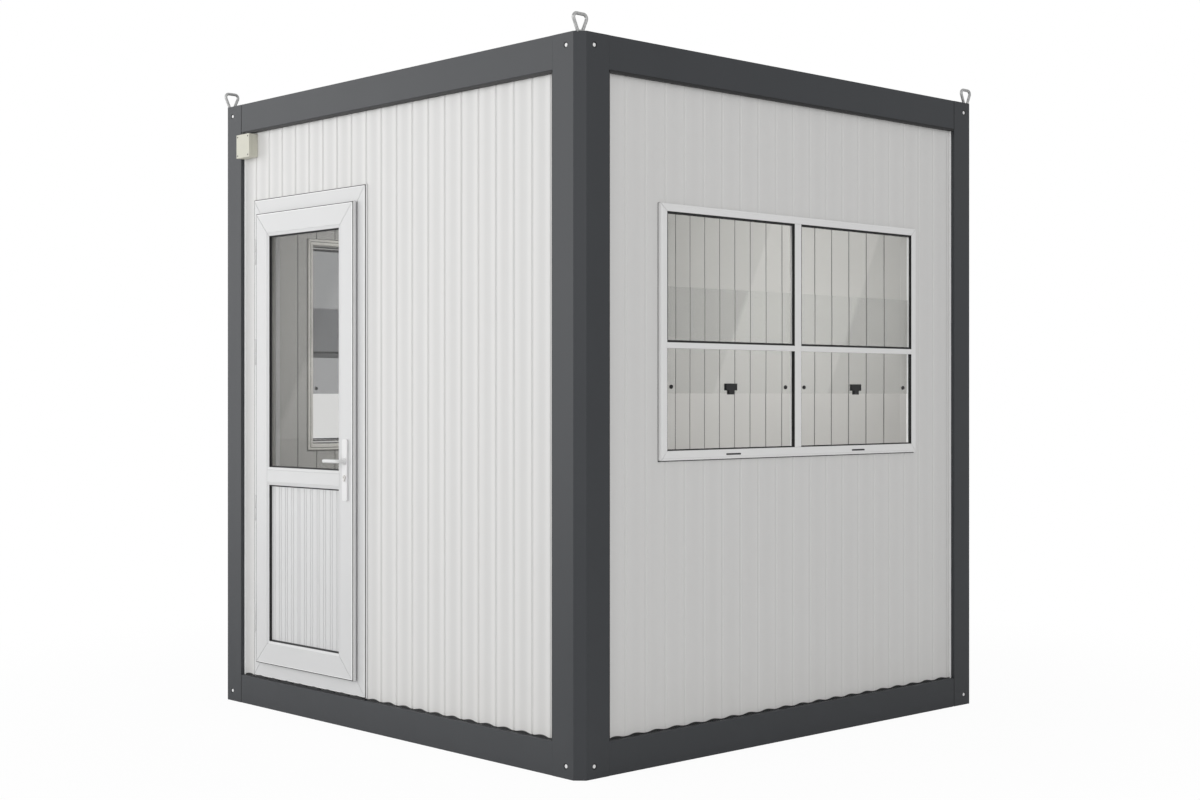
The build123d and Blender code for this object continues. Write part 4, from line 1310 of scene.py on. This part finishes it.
# %% Hinge caps
HINGE_X = -0.881
HINGE_Y = -1.155
HINGE_HEIGHTS = (0.374, 0.845, 1.507, 1.933)
HALF_KNUCKLE = 0.050
dome = lathe([(0.0072, 0.0), (0.0072, -0.0012), (0.0060, -0.0030), (0.0035, -0.0040), (0, -0.0043), (0, 0)], 24)
dome.transform(UPWARDS)
for name, shape, body, end in (("upper", dome, "door", 1), ("lower", mirrored(dome, (0, 0, 1)), "cabin", -1)):
    caps = [placed(shape, HINGE_X, HINGE_Y, z + end * HALF_KNUCKLE) for z in HINGE_HEIGHTS]
    piece("hinge_caps_" + name, joined("caps", caps), "door_pvc", body, [pvc_white])
print("hinges", len(HINGE_HEIGHTS))

# %% [markdown]
# The cable box on the front wall has a lid with four screws, and the gland on top has a hexagonal nut. The
# roof sheet is screwed down through the tops of its ribs with sealing washers.

# %% Cable box, gland and roof
BOX_SCREWS = (-0.960, -1.173, 2.390)
SCREW_SPAN = 0.080
GLAND_PLACE = (-0.992, -1.145, 2.440)
ROOF_CROWN = 2.533
ROOF_PITCH = 0.240
ROOF_RIBS = 8
ROOF_FIXINGS = 5
ROOF_RUN = 2.0
lid_screw = lathe([
    (0, -0.0004), (0.0012, -0.0004), (0.0014, -0.0011), (0.0026, -0.0009), (0.0034, -0.0002), (0.0034, 0.0),
    (0, 0.0),
], 20)
screws = rows_of(lid_screw, gland_plastic, (SCREW_SPAN, SCREW_SPAN), (2, 2), BOX_SCREWS, 3.0, 7)
piece("cable_box_screws", screws, "gland_plastic", "cabin")
nut = lathe([(0, 0), (0.0135, 0), (0.0135, -0.0050), (0.0125, -0.0058), (0, -0.0058)], 6)
sleeve = lathe([
    (0, -0.0050), (0.0108, -0.0050), (0.0108, -0.0110), (0.0095, -0.0130), (0.0070, -0.0138), (0.0050, -0.0120),
    (0, -0.0120),
], 28)
gland = joined("gland", [nut, sleeve])
gland.transform(Matrix.Translation(GLAND_PLACE) @ UPWARDS)
piece("cable_gland_nut", gland, "gland_plastic", "cabin", [gland_plastic], ["cable_gland"])
roof_washer = lathe([(0, 0), (0.0085, 0), (0.0085, -0.0015), (0.0075, -0.0022), (0, -0.0022)], 20)
roof_screw = lathe([
    (0, -0.0020), (0.0068, -0.0020), (0.0068, -0.0030), (0.0046, -0.0032), (0.0046, -0.0078), (0.0038, -0.0086),
    (0, -0.0086),
], 6)
roof_size = ((ROOF_RIBS - 1) * ROOF_PITCH, ROOF_RUN)
for name, part, finish, slot in (
    ("roof_washers", roof_washer, black_rubber_and_shade, "black_rubber"),
    ("roof_screws", roof_screw, galvanised, "ring_steel"),
):
    spread = rows_of(part, finish, roof_size, (ROOF_RIBS, ROOF_FIXINGS), (0, -ROOF_CROWN, 0), 2.0, 11)
    spread.transform(UPWARDS)
    piece(name, spread, slot, "cabin")
roof_mesh = soft_folds(merged_copy("roof_sheet"), 1, 0.003)
piece("roof_sheet_folded", roof_mesh, slot_of["roof_sheet"], "cabin", [roof_paint], ["roof_sheet"])
print("roof screws", ROOF_RIBS * ROOF_FIXINGS)

# %% [markdown]
# Every other measured piece keeps its shape and gets its finish. Where its edges show, a copy with edges
# broken by about a millimetre stands in for it.

# %% Finishes for the measured pieces
finish_of = {
    "clear_glass": clear_glass, "black_rubber": black_rubber_and_shade, "black_plastic": black_plastic,
    "door_pvc": pvc_white, "window_pvc": window_white, "handle_paint": handle_paint, "frame_paint": steel_paint,
    "wall_sheet": sheet_paint, "ceiling_sheet": lining_paint, "roof_metal": roof_paint,
    "floor_steel": steel_paint,
    "floor_board": floor_cover, "lock_metal": nickel, "ring_steel": galvanised, "box_plastic": ivory_plastic,
    "gland_plastic": gland_plastic,
}
for name, node in nodes.items():
    node.data.materials.clear()
    node.data.materials.append(finish_of[slot_of[name]])
for name in ("side_window_glass", "side_window_sashes"):
    nodes[name].data.materials[0] = tinted_glass
nodes["door_glass"].data.materials[0] = door_glass
softened("cable_box", 0.0012, ivory_plastic)
softened("door_handle_plates", 0.0015, handle_paint, 3)
softened("window_latches", 0.0008, black_plastic)
softened("door_hinges_frame", 0.0008, pvc_white)
softened("door_hinges_leaf", 0.0008, pvc_white)
softened("door_panel", 0.0007, pvc_white)
softened("door_glazing_beads", 0.0015, pvc_white)
softened("door_lock_cylinder", 0.0006, nickel)
print("finished nodes", len(nodes))

# %% [markdown]
# The booth stands on a plain pale floor that fades into a white background. The floor and the world turn
# white only for the camera, and the world also for what is seen through glass, so that their white adds no
# light to the booth.

# %% Floor and background
FLOOR_HALF = 40
FLOOR_DROP = 0.001
WORLD_LIGHT = 0.56
WHITE = (1, 1, 1, 1)
corners = [(x * FLOOR_HALF, y * FLOOR_HALF, 0) for x, y in ((-1, -1), (1, -1), (1, 1), (-1, 1))]
floor_mesh = bpy.data.meshes.new("floor")
floor_mesh.from_pydata(corners, [], [(0, 1, 2, 3)])
floor = bpy.data.objects.new("floor", floor_mesh)
scene.collection.objects.link(floor)
floor.location = (0, 0, -FLOOR_DROP)
floor_paint = bpy.data.materials.new("studio_floor")
floor_paint.use_nodes = True
floor_mesh.materials.append(floor_paint)
tree = floor_paint.node_tree
shader = tree.nodes["Principled BSDF"]
shader.inputs["Base Color"].default_value = (0.8, 0.8, 0.8, 1)
shader.inputs["Roughness"].default_value = 0.9
ground = Wire(tree, tree.nodes.new("ShaderNodeTexCoord").outputs["Object"])
radius = ground.node("ShaderNodeVectorMath", {"operation": "LENGTH"}, out=1, _0=ground)
glow = ground.node("ShaderNodeEmission", Color=WHITE, Strength=1.0)
eye = ground.node("ShaderNodeLightPath", out=0)
share = eye * (0.96 + radius.smooth(1.6, 4.0) * 0.04)
laid = ground.node("ShaderNodeMixShader", _0=share, _1=Wire(tree, shader.outputs[0]), _2=glow)
tree.links.new(laid.socket, tree.nodes["Material Output"].inputs["Surface"])

world = bpy.data.worlds.new("studio")
scene.world = world
world.use_nodes = True
tree = world.node_tree
backdrop = Wire(tree, tree.nodes["Background"].outputs[0])
tree.nodes["Background"].inputs["Color"].default_value = WHITE
tree.nodes["Background"].inputs["Strength"].default_value = WORLD_LIGHT
path = tree.nodes.new("ShaderNodeLightPath")
rays = [Wire(tree, path.outputs[name]) for name in ("Is Camera Ray", "Is Transmission Ray")]
white = backdrop.node("ShaderNodeBackground", Color=WHITE, Strength=1.0)
mixed = backdrop.node("ShaderNodeMixShader", _0=backdrop.sum("MAXIMUM", *rays), _1=backdrop, _2=white)
tree.links.new(mixed.socket, tree.nodes["World Output"].inputs["Surface"])
print("floor and world ready")

# %% [markdown]
# Large soft lamps light the booth from the front left, so that the door wall is the brighter one. The key
# lamp is nearly square to the door wall, the panel gives the steel something broad to reflect, the glint
# draws the fine bright lines on edges, and a small lamp lifts the room behind the glass.

# %% Lamps
LAMPS = (
    ("key", (-1.7, -9.5, 3.4), (0, -1, 1.2), 5.0, 210),
    ("panel", (-9.0, -7.5, 2.6), (0, -1, 1.3), 9.0, 330),
    ("glint", (7.2, -6.6, 3.0), (0, -1, 1.3), 1.6, 45),
    ("fill", (8.5, -1.5, 4.5), (0, 0, 1.2), 5.0, 85),
    ("room", (0.30, -0.45, 2.22), (-0.65, 1.00, 1.25), 0.8, 32),
)
for name, place, target, size, power in LAMPS:
    data = bpy.data.lights.new(name, "AREA")
    data.shape = "SQUARE"
    data.size = size
    data.energy = power
    lamp = bpy.data.objects.new(name, data)
    scene.collection.objects.link(lamp)
    lamp.location = place
    lamp.rotation_euler = (Vector(target) - Vector(place)).to_track_quat("-Z", "Y").to_euler()
    lamp.visible_camera = False
    lamp.visible_transmission = False
    lamp.visible_glossy = name != "room"
print("lamps", len(LAMPS))
